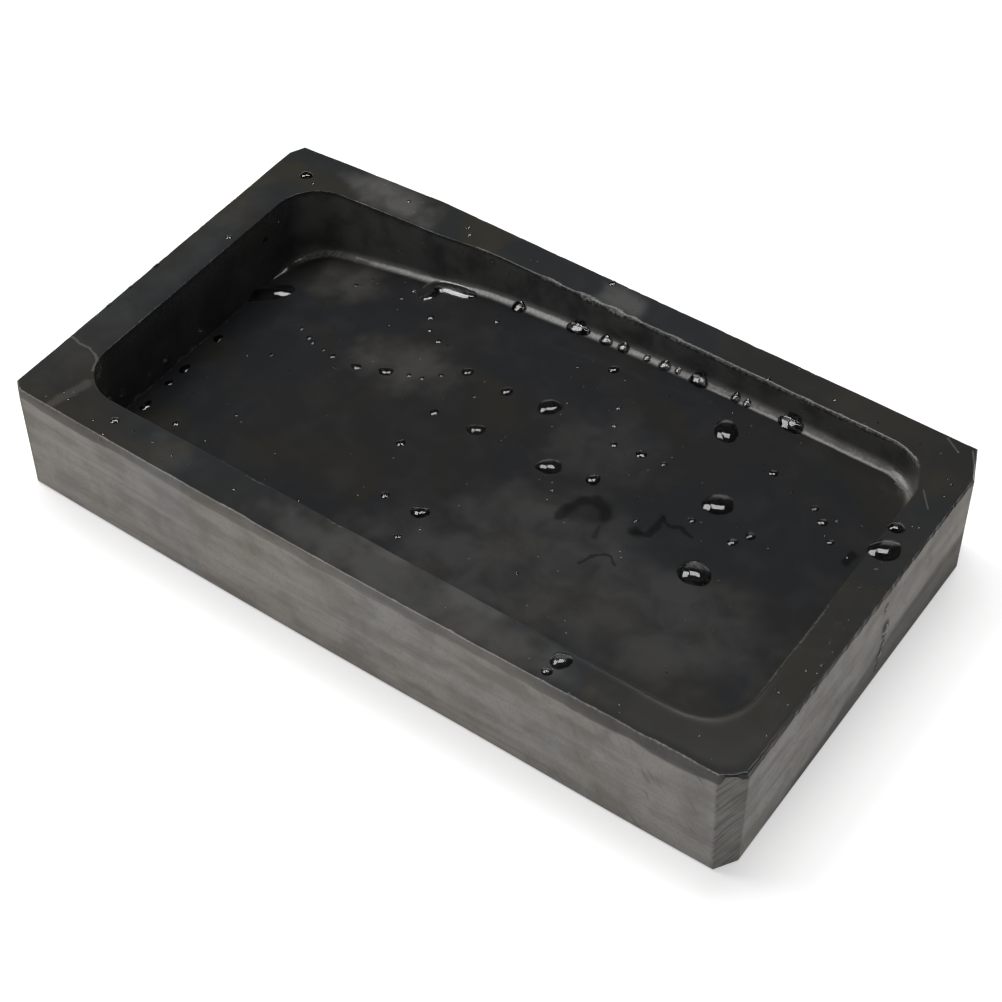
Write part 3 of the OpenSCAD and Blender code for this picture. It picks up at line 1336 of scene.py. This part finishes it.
        # painted highlight and silt along the back of the fillet, strongest in the corner
        silt_and_highlight_share = self.cove_silt_and_highlight * back + self.corner_silt_and_highlight * corner
        silt_and_highlight_share = silt_and_highlight_share * (0.85 + 0.6 * noise_at(self._flat(mouth), 4.0, 44))
        reach, rise = s.fillet()
        loops = []
        for row in range(1, self.pool_wall_rows + 1):
            t = row / self.pool_wall_rows
            foot = s.floor_z(mouth[:, 0]) + rise[0] * share
            points = np.c_[self._pool_loop(wall_in * t), mouth_z + (foot - mouth_z) * t]
            hollow = wall_hollow * math.sin(math.pi * t) * noise_at(points, 9.0, 41)
            points[:, :2] = self._pool_loop(wall_in * t - hollow)
            wet = self.damp_wall + (1 - self.damp_wall) * t
            loops.append(Loop(points, wet, 0.08 * max(0.0, 1 - 3 * t), 0.0, haze_and_sheen))
        for into, up in zip(reach[1:], rise[1:]):
            ring = self._pool_loop(wall_in + into * share)
            gouged = waves_at(self._flat(ring), *self.fillet_waves)
            fade = min(1.0, up / 0.4)
            points = np.c_[ring, s.floor_z(ring[:, 0]) + up * share + gouged * fade]
            # the rows of the fillet that hold its painted highlight
            highlight_band = float(smoothstep(0.02, 0.25, up) * smoothstep(1.2, 0.75, up))
            loops.append(Loop(points, 1.0, 0.0, 0.0, haze_and_sheen * fade, silt_and_highlight_share * highlight_band))
        return loops

    def _floor_patch(self, edge: np.ndarray) -> tuple[np.ndarray, int, int]:
        """Makes the floor's points as a grid inside every other point of the floor's edge.

        Args:
            edge: the last loop of the fillet.

        Returns:
            The grid's points row by row, with the number of rows and columns.
        """
        s, plan, shrink = self.sizes, self.plan, 0.985
        loop = edge[::2, :2]
        columns = (2 * plan.half_corner + plan.long_side) // 2
        rows = (2 * plan.half_corner + plan.short_side) // 2
        centre = loop.mean(axis=0)
        loop = centre + (loop - centre) * shrink
        front = loop[: columns + 1]
        right = loop[columns : columns + rows + 1]
        back = loop[columns + rows : 2 * columns + rows + 1][::-1]
        left = np.concatenate([loop[2 * columns + rows :], loop[:1]])[::-1]
        u = np.linspace(0, 1, columns + 1)[None, :, None]
        v = np.linspace(0, 1, rows + 1)[:, None, None]
        patch = (1 - v) * front[None] + v * back[None] + (1 - u) * left[:, None] + u * right[:, None]
        patch -= (1 - u) * (1 - v) * front[0] + u * (1 - v) * front[-1]
        patch -= (1 - u) * v * back[0] + u * v * back[-1]
        flat = self._flat(patch.reshape(-1, 2))
        flat[:, 2] = s.floor_z(flat[:, 0]) + waves_at(flat, *self.floor_waves)
        return flat, rows + 1, columns + 1

    @staticmethod
    def _grid_rim(rows: int, columns: int) -> list[int]:
        """Lists a grid's outer points, counter-clockwise from its front left.

        Args:
            rows: rows of points in the grid.
            columns: columns of points in it.

        Returns:
            Their numbers.
        """
        front = list(range(columns - 1))
        right = [r * columns + columns - 1 for r in range(rows - 1)]
        back = [(rows - 1) * columns + c for c in range(columns - 1, 0, -1)]
        left = [r * columns for r in range(rows - 1, 0, -1)]
        return front + right + back + left

    def _skin(self, rings: int, rows: int, columns: int) -> Faces:
        """Faces of the whole piece: its base, the loops, and the floor sewn into the last loop.

        Args:
            rings: how many loops there are.
            rows: rows of points in the floor's grid.
            columns: columns of points in it.

        Returns:
            The faces, as numbers of points.
        """
        count = self.plan.count
        faces = [tuple(range(count - 1, -1, -1))]
        for low in range(0, (rings - 1) * count, count):
            high = low + count
            nexts = [(i, (i + 1) % count) for i in range(count)]
            faces += [(low + i, low + j, high + j, high + i) for i, j in nexts]
        last, grid = (rings - 1) * count, rings * count
        rim = [grid + i for i in self._grid_rim(rows, columns)]
        for i in range(len(rim)):
            a, b, c = last + 2 * i, last + 2 * i + 1, last + (2 * i + 2) % count
            near, far = rim[i], rim[(i + 1) % len(rim)]
            faces += [(a, b, near), (b, far, near), (b, c, far)]
        corners = [grid + r * columns + c for r in range(rows - 1) for c in range(columns - 1)]
        faces += [(i, i + 1, i + columns + 1, i + columns) for i in corners]
        return faces

    def _patches(self, points: np.ndarray, patches: tuple[Patch, ...]) -> np.ndarray:
        """Paints soft-edged patches on the upper side.

        Args:
            points: the piece's points.
            patches: the patches.

        Returns:
            How strong they are at each point.
        """
        shade = np.zeros(len(points))
        wander = waves_at(points, *self.patch_waves)
        for patch in patches:
            along, across = points[:, 0] - patch.x, points[:, 1] - patch.y
            away = np.hypot(along / patch.along, across / patch.across)
            shade = np.maximum(shade, patch.strength * smoothstep(1.0, 0.35, away + wander))
        return shade * smoothstep(5.0, 9.0, points[:, 2])

    def _paint(self, points: np.ndarray, loops: list[Loop]) -> dict[str, np.ndarray]:
        """Gathers what is painted on the stone.

        Args:
            points: the piece's points.
            loops: the loops and the floor that they come from.

        Returns:
            A value for each point, for each of PAINTS.
        """
        s = self.sizes
        paint = {}
        for name in ("wetness", "worn", "filed", "haze_and_sheen", "silt_and_highlight"):
            shades = [(getattr(loop, name), len(loop.points)) for loop in loops]
            paint[name] = np.concatenate([np.broadcast_to(shade, (n,)) for shade, n in shades])
        paint["haze_and_sheen"] = np.maximum(paint["haze_and_sheen"], self._patches(points, self.haze_and_sheen))
        paint["olive"] = self._patches(points, self.olive)
        front = smoothstep(s.front + 1.5, s.front + 1.15, points[:, 1])
        scored = np.maximum(self.scored_least, smoothstep(*self.scored_front, points[:, 0]))
        end = smoothstep(s.right - 1, s.right - 0.3, points[:, 0])
        paint["scored"] = np.maximum(front * scored, self.scored_end * end)
        return paint

    def build(self) -> bpy.types.Object:
        """Skins all the loops into one closed piece and dresses it.

        Returns:
            The stone.
        """
        loops = self._side_loops()
        loops += self._rim_loops(loops[-1].points)
        loops += self._wall_loops(loops[-1].points[:, 2])
        patch, rows, columns = self._floor_patch(loops[-1].points)
        faces = self._skin(len(loops), rows, columns)
        loops.append(Loop(patch, 1.0))
        points = np.concatenate([loop.points for loop in loops])
        stone = make_mesh("ink_stone_slate", points, faces)
        for name, shade in self._paint(points, loops).items():
            layer = stone.data.attributes.new(name, "FLOAT", "POINT")
            layer.data.foreach_set("value", shade.astype(np.float32))
        stone.data.set_sharp_from_angle(angle=self.sharp_angle)
        stone.data.materials.append(self.finish.build())
        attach(stone, BODY)
        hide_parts(NODE)
        LOG.info("%s: %d points, %d faces", stone.name, len(points), len(faces))
        return stone


# ---------------------------------------------------------------------------------------------- the water


class Bed(Enum):
    """What water lies on, with its two coordinates there."""

    RIM = "x and y"
    POOL = "x and y, on the floor or the fillet"
    FLOOR = "x and y, level with the floor right up to the wall"
    BACK_WALL = "x and z"
    LEFT_WALL = "y and z"
    RIGHT_FACE = "y and z of the outer face"
    FRONT_EDGE = "x, and how far up the bevel"
    LEFT_EDGE = "y, and how far up the bevel"


@dataclass(frozen=True)
class Drop:
    """A drop of water: its place on its bed, its width, and its shape."""

    u: float
    v: float
    width: float
    stretch: float = 1.0
    turn: float = 0.0
    rise: float = 0.18
    fullness: float = 2.4


@dataclass(frozen=True)
class Rivulet:
    """Water drawn out along a way, with its width and depth: round at both ends, or heaped at its start."""

    way: tuple[tuple[float, float], ...]
    width: float
    depth: float
    heaped: bool = False


@dataclass(frozen=True)
class Spray:
    """Fine drops strewn over a rectangle: the piece's name, its bed, how many, and the rectangle's least and
    greatest coordinates."""

    name: str
    bed: Bed
    count: int
    low: tuple[float, float]
    high: tuple[float, float]


@dataclass(frozen=True)
class DropMesh:
    """How drops up to some width are meshed, and how they stand: the points round them, the rings, and how
    high they are as a share of their rise.  Small ones are flatter, round caps."""

    widest: float
    around: int
    rings: int
    height: float
    round_cap: bool = True


@dataclass
class RinseWater:
    """The water left on the stone: drops, spray and rivulets, each lot as one piece."""

    sizes: StoneSizes
    finish: ClearWater
    thin_finish: ClearWater = ClearWater("thin_water", gloss=0.3, coat=0.0)
    meshes: tuple[DropMesh, ...] = (
        DropMesh(1.0, 14, 6, 0.62),
        DropMesh(2.4, 24, 9, 0.72),
        DropMesh(math.inf, 44, 14, 1.0, False),
    )
    stations: int = 48
    across: int = 17
    seed: int = 5
    sink: float = 0.12
    rim: tuple[Drop, ...] = (
        Drop(-90.5, 44.7, 3.4),
        Drop(-87.0, 43.3, 1.1),
        Drop(-91.4, 14.6, 1.7),
        Drop(-72.1, -50.1, 2.2),
        Drop(-62.6, 51.7, 1.2),
        Drop(-42.5, 50.2, 1.3),
        Drop(-3.1, 55.6, 2.0),
        Drop(45.2, 48.6, 1.3),
        Drop(52.3, -49.4, 4.8, 1.0, 0, 0.17),
        Drop(51.4, -53.4, 2.6),
        Drop(93.5, 17.2, 6.7, 1.08, 60, 0.15, 2.2),
        Drop(92.4, 24.5, 3.6, 1.1, 60),
    )
    floor: tuple[Drop, ...] = (
        Drop(-68.3, 13.0, 1.1),
        Drop(-64.4, 11.0, 1.4),
        Drop(-62.2, 9.9, 1.2),
        Drop(-58.0, 8.9, 1.1),
        Drop(-68.6, 1.3, 1.1),
        Drop(-52.8, 34.5, 1.1),
        Drop(-66.7, 33.5, 1.3),
        Drop(-51.9, 38.4, 1.2),
        Drop(-26.0, 38.4, 1.2),
        Drop(40.2, -0.5, 1.2),
        Drop(-54.5, 7.9, 1.6),
        Drop(-46.7, 7.6, 2.2, 1.3),
        Drop(-39.0, 9.6, 3.1, 1.25),
        Drop(-33.1, 11.2, 1.3),
        Drop(-29.6, 11.9, 1.3),
        Drop(-26.2, 15.1, 1.3),
        Drop(-21.2, 19.4, 2.9, 1.15),
        Drop(-41.7, 31.7, 1.7),
        Drop(-38.7, 27.6, 1.2),
        Drop(-34.4, 25.1, 1.7),
        Drop(-8.9, 18.4, 3.1),
        Drop(-19.8, 3.5, 2.3),
        Drop(3.0, 19.3, 5.5, 1.1, 35, 0.15, 2.8),
        Drop(14.0, 2.7, 5.3, 1.15, 30),
        Drop(-7.6, 3.7, 3.8, 1.2, 30),
        Drop(-20.2, -9.3, 2.2),
        Drop(-12.9, -25.2, 2.2),
        Drop(-2.6, -25.5, 3.8, 1.2, 30),
        Drop(-2.4, -34.3, 1.7),
        Drop(-73.2, -30.2, 1.7),
        Drop(25.0, 4.7, 3.6),
        Drop(8.8, 38.5, 2.8),
        Drop(17.1, 27.9, 1.3),
        Drop(19.4, 22.2, 1.3),
        Drop(22.9, 16.9, 1.8),
        Drop(29.8, 17.8, 2.3, 1.3),
        Drop(36.1, 18.0, 1.4),
        Drop(42.4, 35.4, 5.8, 1.3, 115, 0.15, 2.8),
        Drop(53.0, 14.4, 6.2, 1.25, 35, 0.13, 2.8),
        Drop(59.4, -6.4, 7.4, 1.05, 30, 0.17),
        Drop(61.6, 6.4, 2.3),
        Drop(64.0, 10.3, 2.5),
        Drop(58.4, 30.1, 2.2),
        Drop(71.8, 26.1, 1.7),
        Drop(75.3, 23.3, 2.3),
        Drop(79.7, 19.1, 1.7),
        Drop(50.7, 6.8, 1.7),
    )
    fillet: tuple[Drop, ...] = (
        Drop(-24.1, 45.4, 3.1, 1.4),
        Drop(-6.6, 45.8, 3.1, 2.2),
        Drop(1.7, 45.8, 2.6, 1.5),
        Drop(6.8, 45.8, 2.4, 1.5),
        Drop(13.6, 45.8, 2.0),
        Drop(18.7, 45.8, 2.4, 1.5),
        Drop(22.3, 46.0, 1.8),
        Drop(28.3, 45.8, 3.4, 1.5),
        Drop(38.7, 45.8, 2.6),
        Drop(41.9, 45.8, 2.2),
        Drop(54.0, 45.6, 3.8, 1.9),
        Drop(-85.6, 0.4, 2.2, 1.4, 90),
        Drop(-85.4, -12.9, 2.3, 1.6, 90),
        Drop(-85.4, -19.0, 1.9, 1.2, 90),
        Drop(-84.8, -28.3, 2.3, 1.8, 90, 0.22),
    )
    back_wall: tuple[Drop, ...] = (
        Drop(-66.6, 17.9, 1.4),
        Drop(-60.3, 21.4, 1.4),
        Drop(-56.2, 19.7, 1.4),
    )
    left_wall: tuple[Drop, ...] = (
        Drop(34.6, 26.0, 1.2),
        Drop(30.6, 26.5, 1.3),
        Drop(25.1, 24.6, 1.6),
    )
    trickle: tuple[Drop, ...] = (
        Drop(7.4, 26.3, 1.2, 1.2, 90),
        Drop(9.1, 17.0, 2.4, 1.5, 95),
        Drop(9.2, 11.5, 1.5),
        Drop(8.5, 8.6, 1.7, 1.4, 90),
        Drop(8.2, 4.6, 1.3),
    )
    front_edge: tuple[Drop, ...] = (Drop(-71.5, 0.0, 1.9),)
    left_edge: tuple[Drop, ...] = (
        Drop(-4.0, 0.0, 2.0, 1.5),
        Drop(-13.5, 0.0, 1.7, 1.6),
        Drop(-21.3, 0.0, 1.6, 1.6),
    )
    corner_runs: tuple[Rivulet, ...] = (
        Rivulet(
            ((-46.6, 36.4), (-48.0, 39.4), (-47.8, 42.4), (-45.4, 44.2), (-41.0, 44.4), (-36.2, 43.8)),
            6.0,
            0.75,
        ),
        Rivulet(((-91.4, 18.4), (-85.6, 21.8), (-80.1, 24.9)), 7.4, 1.95, True),
    )
    sprays: tuple[Spray, ...] = (
        Spray("floor_spray", Bed.POOL, 110, (-80.0, -38.0), (86.0, 42.0)),
        Spray("front_rim_spray", Bed.RIM, 22, (-92.0, -54.0), (92.0, -48.0)),
        Spray("back_rim_spray", Bed.RIM, 18, (-70.0, 49.5), (90.0, 55.0)),
        Spray("right_rim_spray", Bed.RIM, 34, (93.0, -50.0), (98.5, 46.0)),
        Spray("back_wall_spray", Bed.BACK_WALL, 26, (-60.0, 25.5), (80.0, 30.0)),
    )

    def _lie(self, bed: Bed, u: np.ndarray, v: np.ndarray) -> tuple[np.ndarray, np.ndarray]:
        """Points on a bed and the directions out of it.

        Args:
            bed: what the water lies on.
            u: first coordinates there.
            v: second coordinates.

        Returns:
            The points and the normals.
        """
        s, step, slant = self.sizes, 0.05, math.sqrt(0.5)
        front_bevel, left_bevel, below_rim = 0.6, 0.25, 0.05
        flat = np.zeros_like(u)
        if bed is Bed.POOL:
            slope_x = (s.pool_surface(u + step, v) - s.pool_surface(u - step, v)) / (2 * step)
            slope_y = (s.pool_surface(u, v + step) - s.pool_surface(u, v - step)) / (2 * step)
            normal = np.stack([-slope_x, -slope_y, flat + 1], axis=-1)
            normal /= np.linalg.norm(normal, axis=-1)[..., None]
            return np.stack([u, v, s.pool_surface(u, v)], axis=-1), normal
        ways = {
            Bed.RIM: ((u, v, flat + s.height - below_rim), (0, 0, 1)),
            Bed.FLOOR: ((u, v, s.floor_z(u)), (0, 0, 1)),
            Bed.BACK_WALL: ((u, s.pool_back(u) - s.wall_inset(u) / 2, v), (0, -1, 0)),
            Bed.LEFT_WALL: ((flat + s.pool_left + float(s.wall_inset(s.pool_left)) / 2, u, v), (1, 0, 0)),
            Bed.RIGHT_FACE: ((flat + s.right, u, v), (1, 0, 0)),
            Bed.FRONT_EDGE: (
                (u, s.front_face(u) + front_bevel + v * slant, s.height - front_bevel + v * slant),
                (0, -slant, slant),
            ),
            Bed.LEFT_EDGE: (
                (s.left + left_bevel + v * slant, u, s.height - left_bevel + v * slant),
                (-slant, 0, slant),
            ),
        }
        point, way = ways[bed]
        return np.stack(point, axis=-1), np.broadcast_to(np.array(way, float), (*u.shape, 3))

    def _bead(
        self, bed: Bed, outline: np.ndarray, height: float, fullness: float, rings: int, start: int
    ) -> tuple[np.ndarray, Faces]:
        """One closed body of water, sunk a little into what it lies on.

        Args:
            bed: what it lies on.
            outline: its outline in the bed's coordinates, counter-clockwise.
            height: how high it stands.
            fullness: 2 for a round cap, and more for a flatter top with a steeper edge.
            rings: how many rings of points it has.
            start: number of its first point in the piece's mesh.

        Returns:
            Its points and faces.
        """
        around = len(outline)
        middle = outline.mean(axis=0)
        share = np.sin(np.linspace(1, 0, rings, endpoint=False) * math.pi / 2)
        reach = np.concatenate([[1.0], share, [0.0]])
        lift = np.concatenate([[-self.sink], height * (1 - share**fullness), [height]])
        plan = middle + (outline - middle) * reach[:, None, None]
        points, normals = self._lie(bed, plan[..., 0], plan[..., 1])
        points = points + normals * lift[:, None, None]
        body = np.concatenate([points[:-1].reshape(-1, 3), points[-1, :1]])
        turns = [(i, (i + 1) % around) for i in range(around)]
        faces = [
            (low + i, low + j, low + around + j, low + around + i)
            for low in range(0, rings * around, around)
            for i, j in turns
        ]
        last, top = rings * around, (rings + 1) * around
        faces += [(last + i, last + j, top) for i, j in turns]
        faces.append(tuple(range(around - 1, -1, -1)))
        return body, [tuple(start + i for i in face) for face in faces]

    @staticmethod
    def _drop_outline(drop: Drop, around: int, random: np.random.Generator) -> np.ndarray:
        """Draws a drop's uneven outline.

        Args:
            drop: the drop.
            around: how many points it has.
            random: where its waves start.

        Returns:
            Its points in its bed's coordinates, counter-clockwise.
        """
        angle = np.linspace(0, 2 * math.pi, around, endpoint=False)
        starts = random.uniform(0, 2 * math.pi, 3)
        uneven = np.ones(around)
        for depth, number, start in zip((0.05, 0.04, 0.02), (2, 3, 5), starts):
            uneven += depth * np.cos(number * angle + start)
        long_way, short_way = np.cos(angle) * drop.stretch, np.sin(angle)
        turn = math.radians(drop.turn)
        across = long_way * math.cos(turn) - short_way * math.sin(turn)
        up = long_way * math.sin(turn) + short_way * math.cos(turn)
        return np.stack([across, up], axis=1) * (uneven * drop.width / 2)[:, None] + (drop.u, drop.v)

    def _run(self, bed: Bed, water: Rivulet, start: int) -> tuple[np.ndarray, Faces]:
        """One rivulet, skinned over its cross-sections.

        Args:
            bed: what it lies on.
            water: the rivulet.
            start: number of its first point in the piece's mesh.

        Returns:
            Its points and faces.
        """
        stations, roundings, end_width = self.stations, 3, 0.02
        way = np.array(water.way)
        for _ in range(roundings):
            cut = np.stack([0.75 * way[:-1] + 0.25 * way[1:], 0.25 * way[:-1] + 0.75 * way[1:]], axis=1)
            way = np.concatenate([way[:1], cut.reshape(-1, 2), way[-1:]])
        run = np.concatenate([[0.0], np.cumsum(np.linalg.norm(np.diff(way, axis=0), axis=1))])
        share = (1 - np.cos(np.linspace(0.0, math.pi, stations))) / 2
        axis = np.stack([np.interp(share * run[-1], run, way[:, i]) for i in (0, 1)], axis=1)
        ahead = np.gradient(axis, axis=0)
        ahead /= np.linalg.norm(ahead, axis=1)[:, None]
        if water.heaped:
            height, width = 1 - share**2, (1 - share**4) ** 0.5
        else:
            height = width = (1 - (2 * share - 1) ** 4) ** 0.5
        side = np.concatenate([[-1.0], np.linspace(-1.0, 1.0, self.across), [1.0]])
        lift = water.depth * height[:, None] * (1 - side**2) - self.sink * (abs(side) == 1)
        lift[:, 1] = lift[:, -2] = 0.0
        reach = (water.width / 2 * np.maximum(width, end_width))[:, None] * side
        beside = np.stack([ahead[:, 1], -ahead[:, 0]], axis=1)
        plan = axis[:, None] + beside[:, None] * reach[..., None]
        points, normals = self._lie(bed, plan[..., 0], plan[..., 1])
        points = (points + normals * lift[..., None]).reshape(-1, 3)
        ring = len(side)
        turns = [(i, (i + 1) % ring) for i in range(ring)]
        faces = [
            (low + i, low + ring + i, low + ring + j, low + j)
            for low in range(0, (stations - 1) * ring, ring)
            for i, j in turns
        ]
        faces += [tuple(range(ring)), tuple(range(stations * ring - 1, (stations - 1) * ring - 1, -1))]
        return points, [tuple(start + i for i in face) for face in faces]

    def _piece(
        self, name: str, bed: Bed, lot: tuple[Drop | Rivulet, ...], material: bpy.types.Material
    ) -> bpy.types.Object:
        """Makes one piece of a lot of drops or rivulets on one bed.

        Args:
            name: the piece's name.
            bed: what they lie on.
            lot: the drops or rivulets.
            material: the water's material.

        Returns:
            The piece.
        """
        random = np.random.default_rng([self.seed, len(lot)])
        bodies: list[np.ndarray] = []
        faces: Faces = []
        start = 0
        for water in lot:
            if isinstance(water, Rivulet):
                body, skin = self._run(bed, water, start)
            else:
                mesh = next(mesh for mesh in self.meshes if water.width < mesh.widest)
                outline = self._drop_outline(water, mesh.around, random)
                mirrored = bed in (Bed.BACK_WALL, Bed.LEFT_EDGE)
                outline = outline[::-1] if mirrored else outline
                height = water.width * water.rise * mesh.height
                fullness = 2.0 if mesh.round_cap else water.fullness
                body, skin = self._bead(bed, outline, height, fullness, mesh.rings, start)
            bodies.append(body)
            faces += skin
            start += len(body)
        piece = make_mesh(name, np.concatenate(bodies), faces)
        piece.data.materials.append(material)
        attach(piece, BODY)
        LOG.info("%s: %d bodies of water", name, len(lot))
        return piece

    def _strewn(self, spray: Spray) -> tuple[Drop, ...]:
        """Strews the drops of a spray.

        Args:
            spray: how many there are, and where.

        Returns:
            The drops.
        """
        least, spread, rarity = 0.35, 0.5, 3
        random = np.random.default_rng([self.seed, spray.count, 3])
        places = random.uniform(spray.low, spray.high, (spray.count, 2))
        widths = least + spread * random.random(spray.count) ** rarity
        return tuple(Drop(u, v, width) for (u, v), width in zip(places, widths))

    def build(self) -> list[bpy.types.Object]:
        """Makes every lot of water.

        Returns:
            The pieces.
        """
        water, thin_water = self.finish.build(), self.thin_finish.build()
        lots = (
            ("rim_drops", Bed.RIM, self.rim, water),
            ("floor_drops", Bed.POOL, self.floor, water),
            ("fillet_drops", Bed.POOL, self.fillet, water),
            ("back_wall_drops", Bed.BACK_WALL, self.back_wall, water),
            ("left_wall_drops", Bed.LEFT_WALL, self.left_wall, water),
            ("end_face_trickle", Bed.RIGHT_FACE, self.trickle, thin_water),
            ("front_edge_drops", Bed.FRONT_EDGE, self.front_edge, water),
            ("left_edge_drops", Bed.LEFT_EDGE, self.left_edge, water),
            ("pool_corner_water", Bed.FLOOR, self.corner_runs, water),
            *((spray.name, spray.bed, self._strewn(spray), water) for spray in self.sprays),
        )
        return [self._piece(*lot) for lot in lots]


# ---------------------------------------------------------------------------------------------- the studio


@dataclass(frozen=True)
class Softbox:
    """A soft lamp: the direction it hangs in, how far off, how large and how strong."""

    name: str
    direction: Direction
    distance: float
    width: float
    height: float
    watts: float


@dataclass
class Studio:
    """A light table, two soft lamps overhead to the left, a dim room, and the camera."""

    table: LightTable
    room: DimRoom
    lamps: tuple[Softbox, ...] = (
        Softbox("softbox_back", (-0.13, 0.30, 0.945), 1500.0, 740.0, 560.0, 11.3),
        Softbox("softbox_left", (-0.53, -0.04, 0.85), 1500.0, 740.0, 560.0, 11.3),
    )
    azimuth: float = 35.01
    elevation: float = 47.88
    distance: float = 551.4
    target: tuple[float, float, float] = (-0.77, 4.29, 0.0)
    lens: float = 81.3
    sensor: float = 36.0
    table_size: float = 6000.0

    def _view(self) -> Vector:
        """Unit direction from the stone to the camera: azimuth 0 is in front of it, and 90 to its right."""
        a, e = math.radians(self.azimuth), math.radians(self.elevation)
        return Vector((math.sin(a) * math.cos(e), -math.cos(a) * math.cos(e), math.sin(e)))

    @staticmethod
    def _aim(thing: bpy.types.Object, place: Vector, target: Vector) -> None:
        """Puts a lamp or the camera in its place, turned towards a target.

        Args:
            thing: the lamp or the camera.
            place: where it goes, in metres.
            target: what it points at, in metres.
        """
        thing.location = place
        thing.rotation_euler = (target - place).to_track_quat("-Z", "Y").to_euler()

    def build(self) -> None:
        """Lays the table, hangs the lamps, lights the room and sets up the camera."""
        scene = bpy.context.scene
        scene.view_settings.view_transform = "Standard"
        half = self.table_size / 2
        corners = np.array([(-half, -half, 0), (half, -half, 0), (half, half, 0), (-half, half, 0)])
        table = make_mesh("light_table", corners, [(0, 1, 2, 3)])
        table.data.materials.append(self.table.build())
        for lamp in self.lamps:
            light = bpy.data.lights.new(lamp.name, "AREA")
            light.shape = "RECTANGLE"
            light.size, light.size_y = lamp.width * MM, lamp.height * MM
            light.energy = lamp.watts
            hung = bpy.data.objects.new(lamp.name, light)
            scene.collection.objects.link(hung)
            self._aim(hung, Vector(lamp.direction).normalized() * (lamp.distance * MM), Vector((0, 0, 0)))
        scene.world = self.room.build()
        lens = bpy.data.cameras.new("camera")
        lens.lens = self.lens
        lens.sensor_width = self.sensor
        camera = bpy.data.objects.new("camera", lens)
        scene.collection.objects.link(camera)
        target = Vector(self.target) * MM
        self._aim(camera, target + self._view() * (self.distance * MM), target)
        scene.camera = camera
        LOG.info("studio: %d lamps and the camera", len(self.lamps))


def main() -> None:
    """Builds the stone, its water and the studio."""
    logging.basicConfig(level=logging.INFO, format="%(name)s: %(message)s")
    low, high = CAD_BOX
    length, width, height = ((b - a) / MM for a, b in zip(low, high))
    sizes = StoneSizes(length, width, height)
    Studio(LightTable(), DimRoom()).build()
    Stone(sizes, RinsedSlate()).build()
    RinseWater(sizes, ClearWater()).build()


if __name__ == "__main__":
    main()
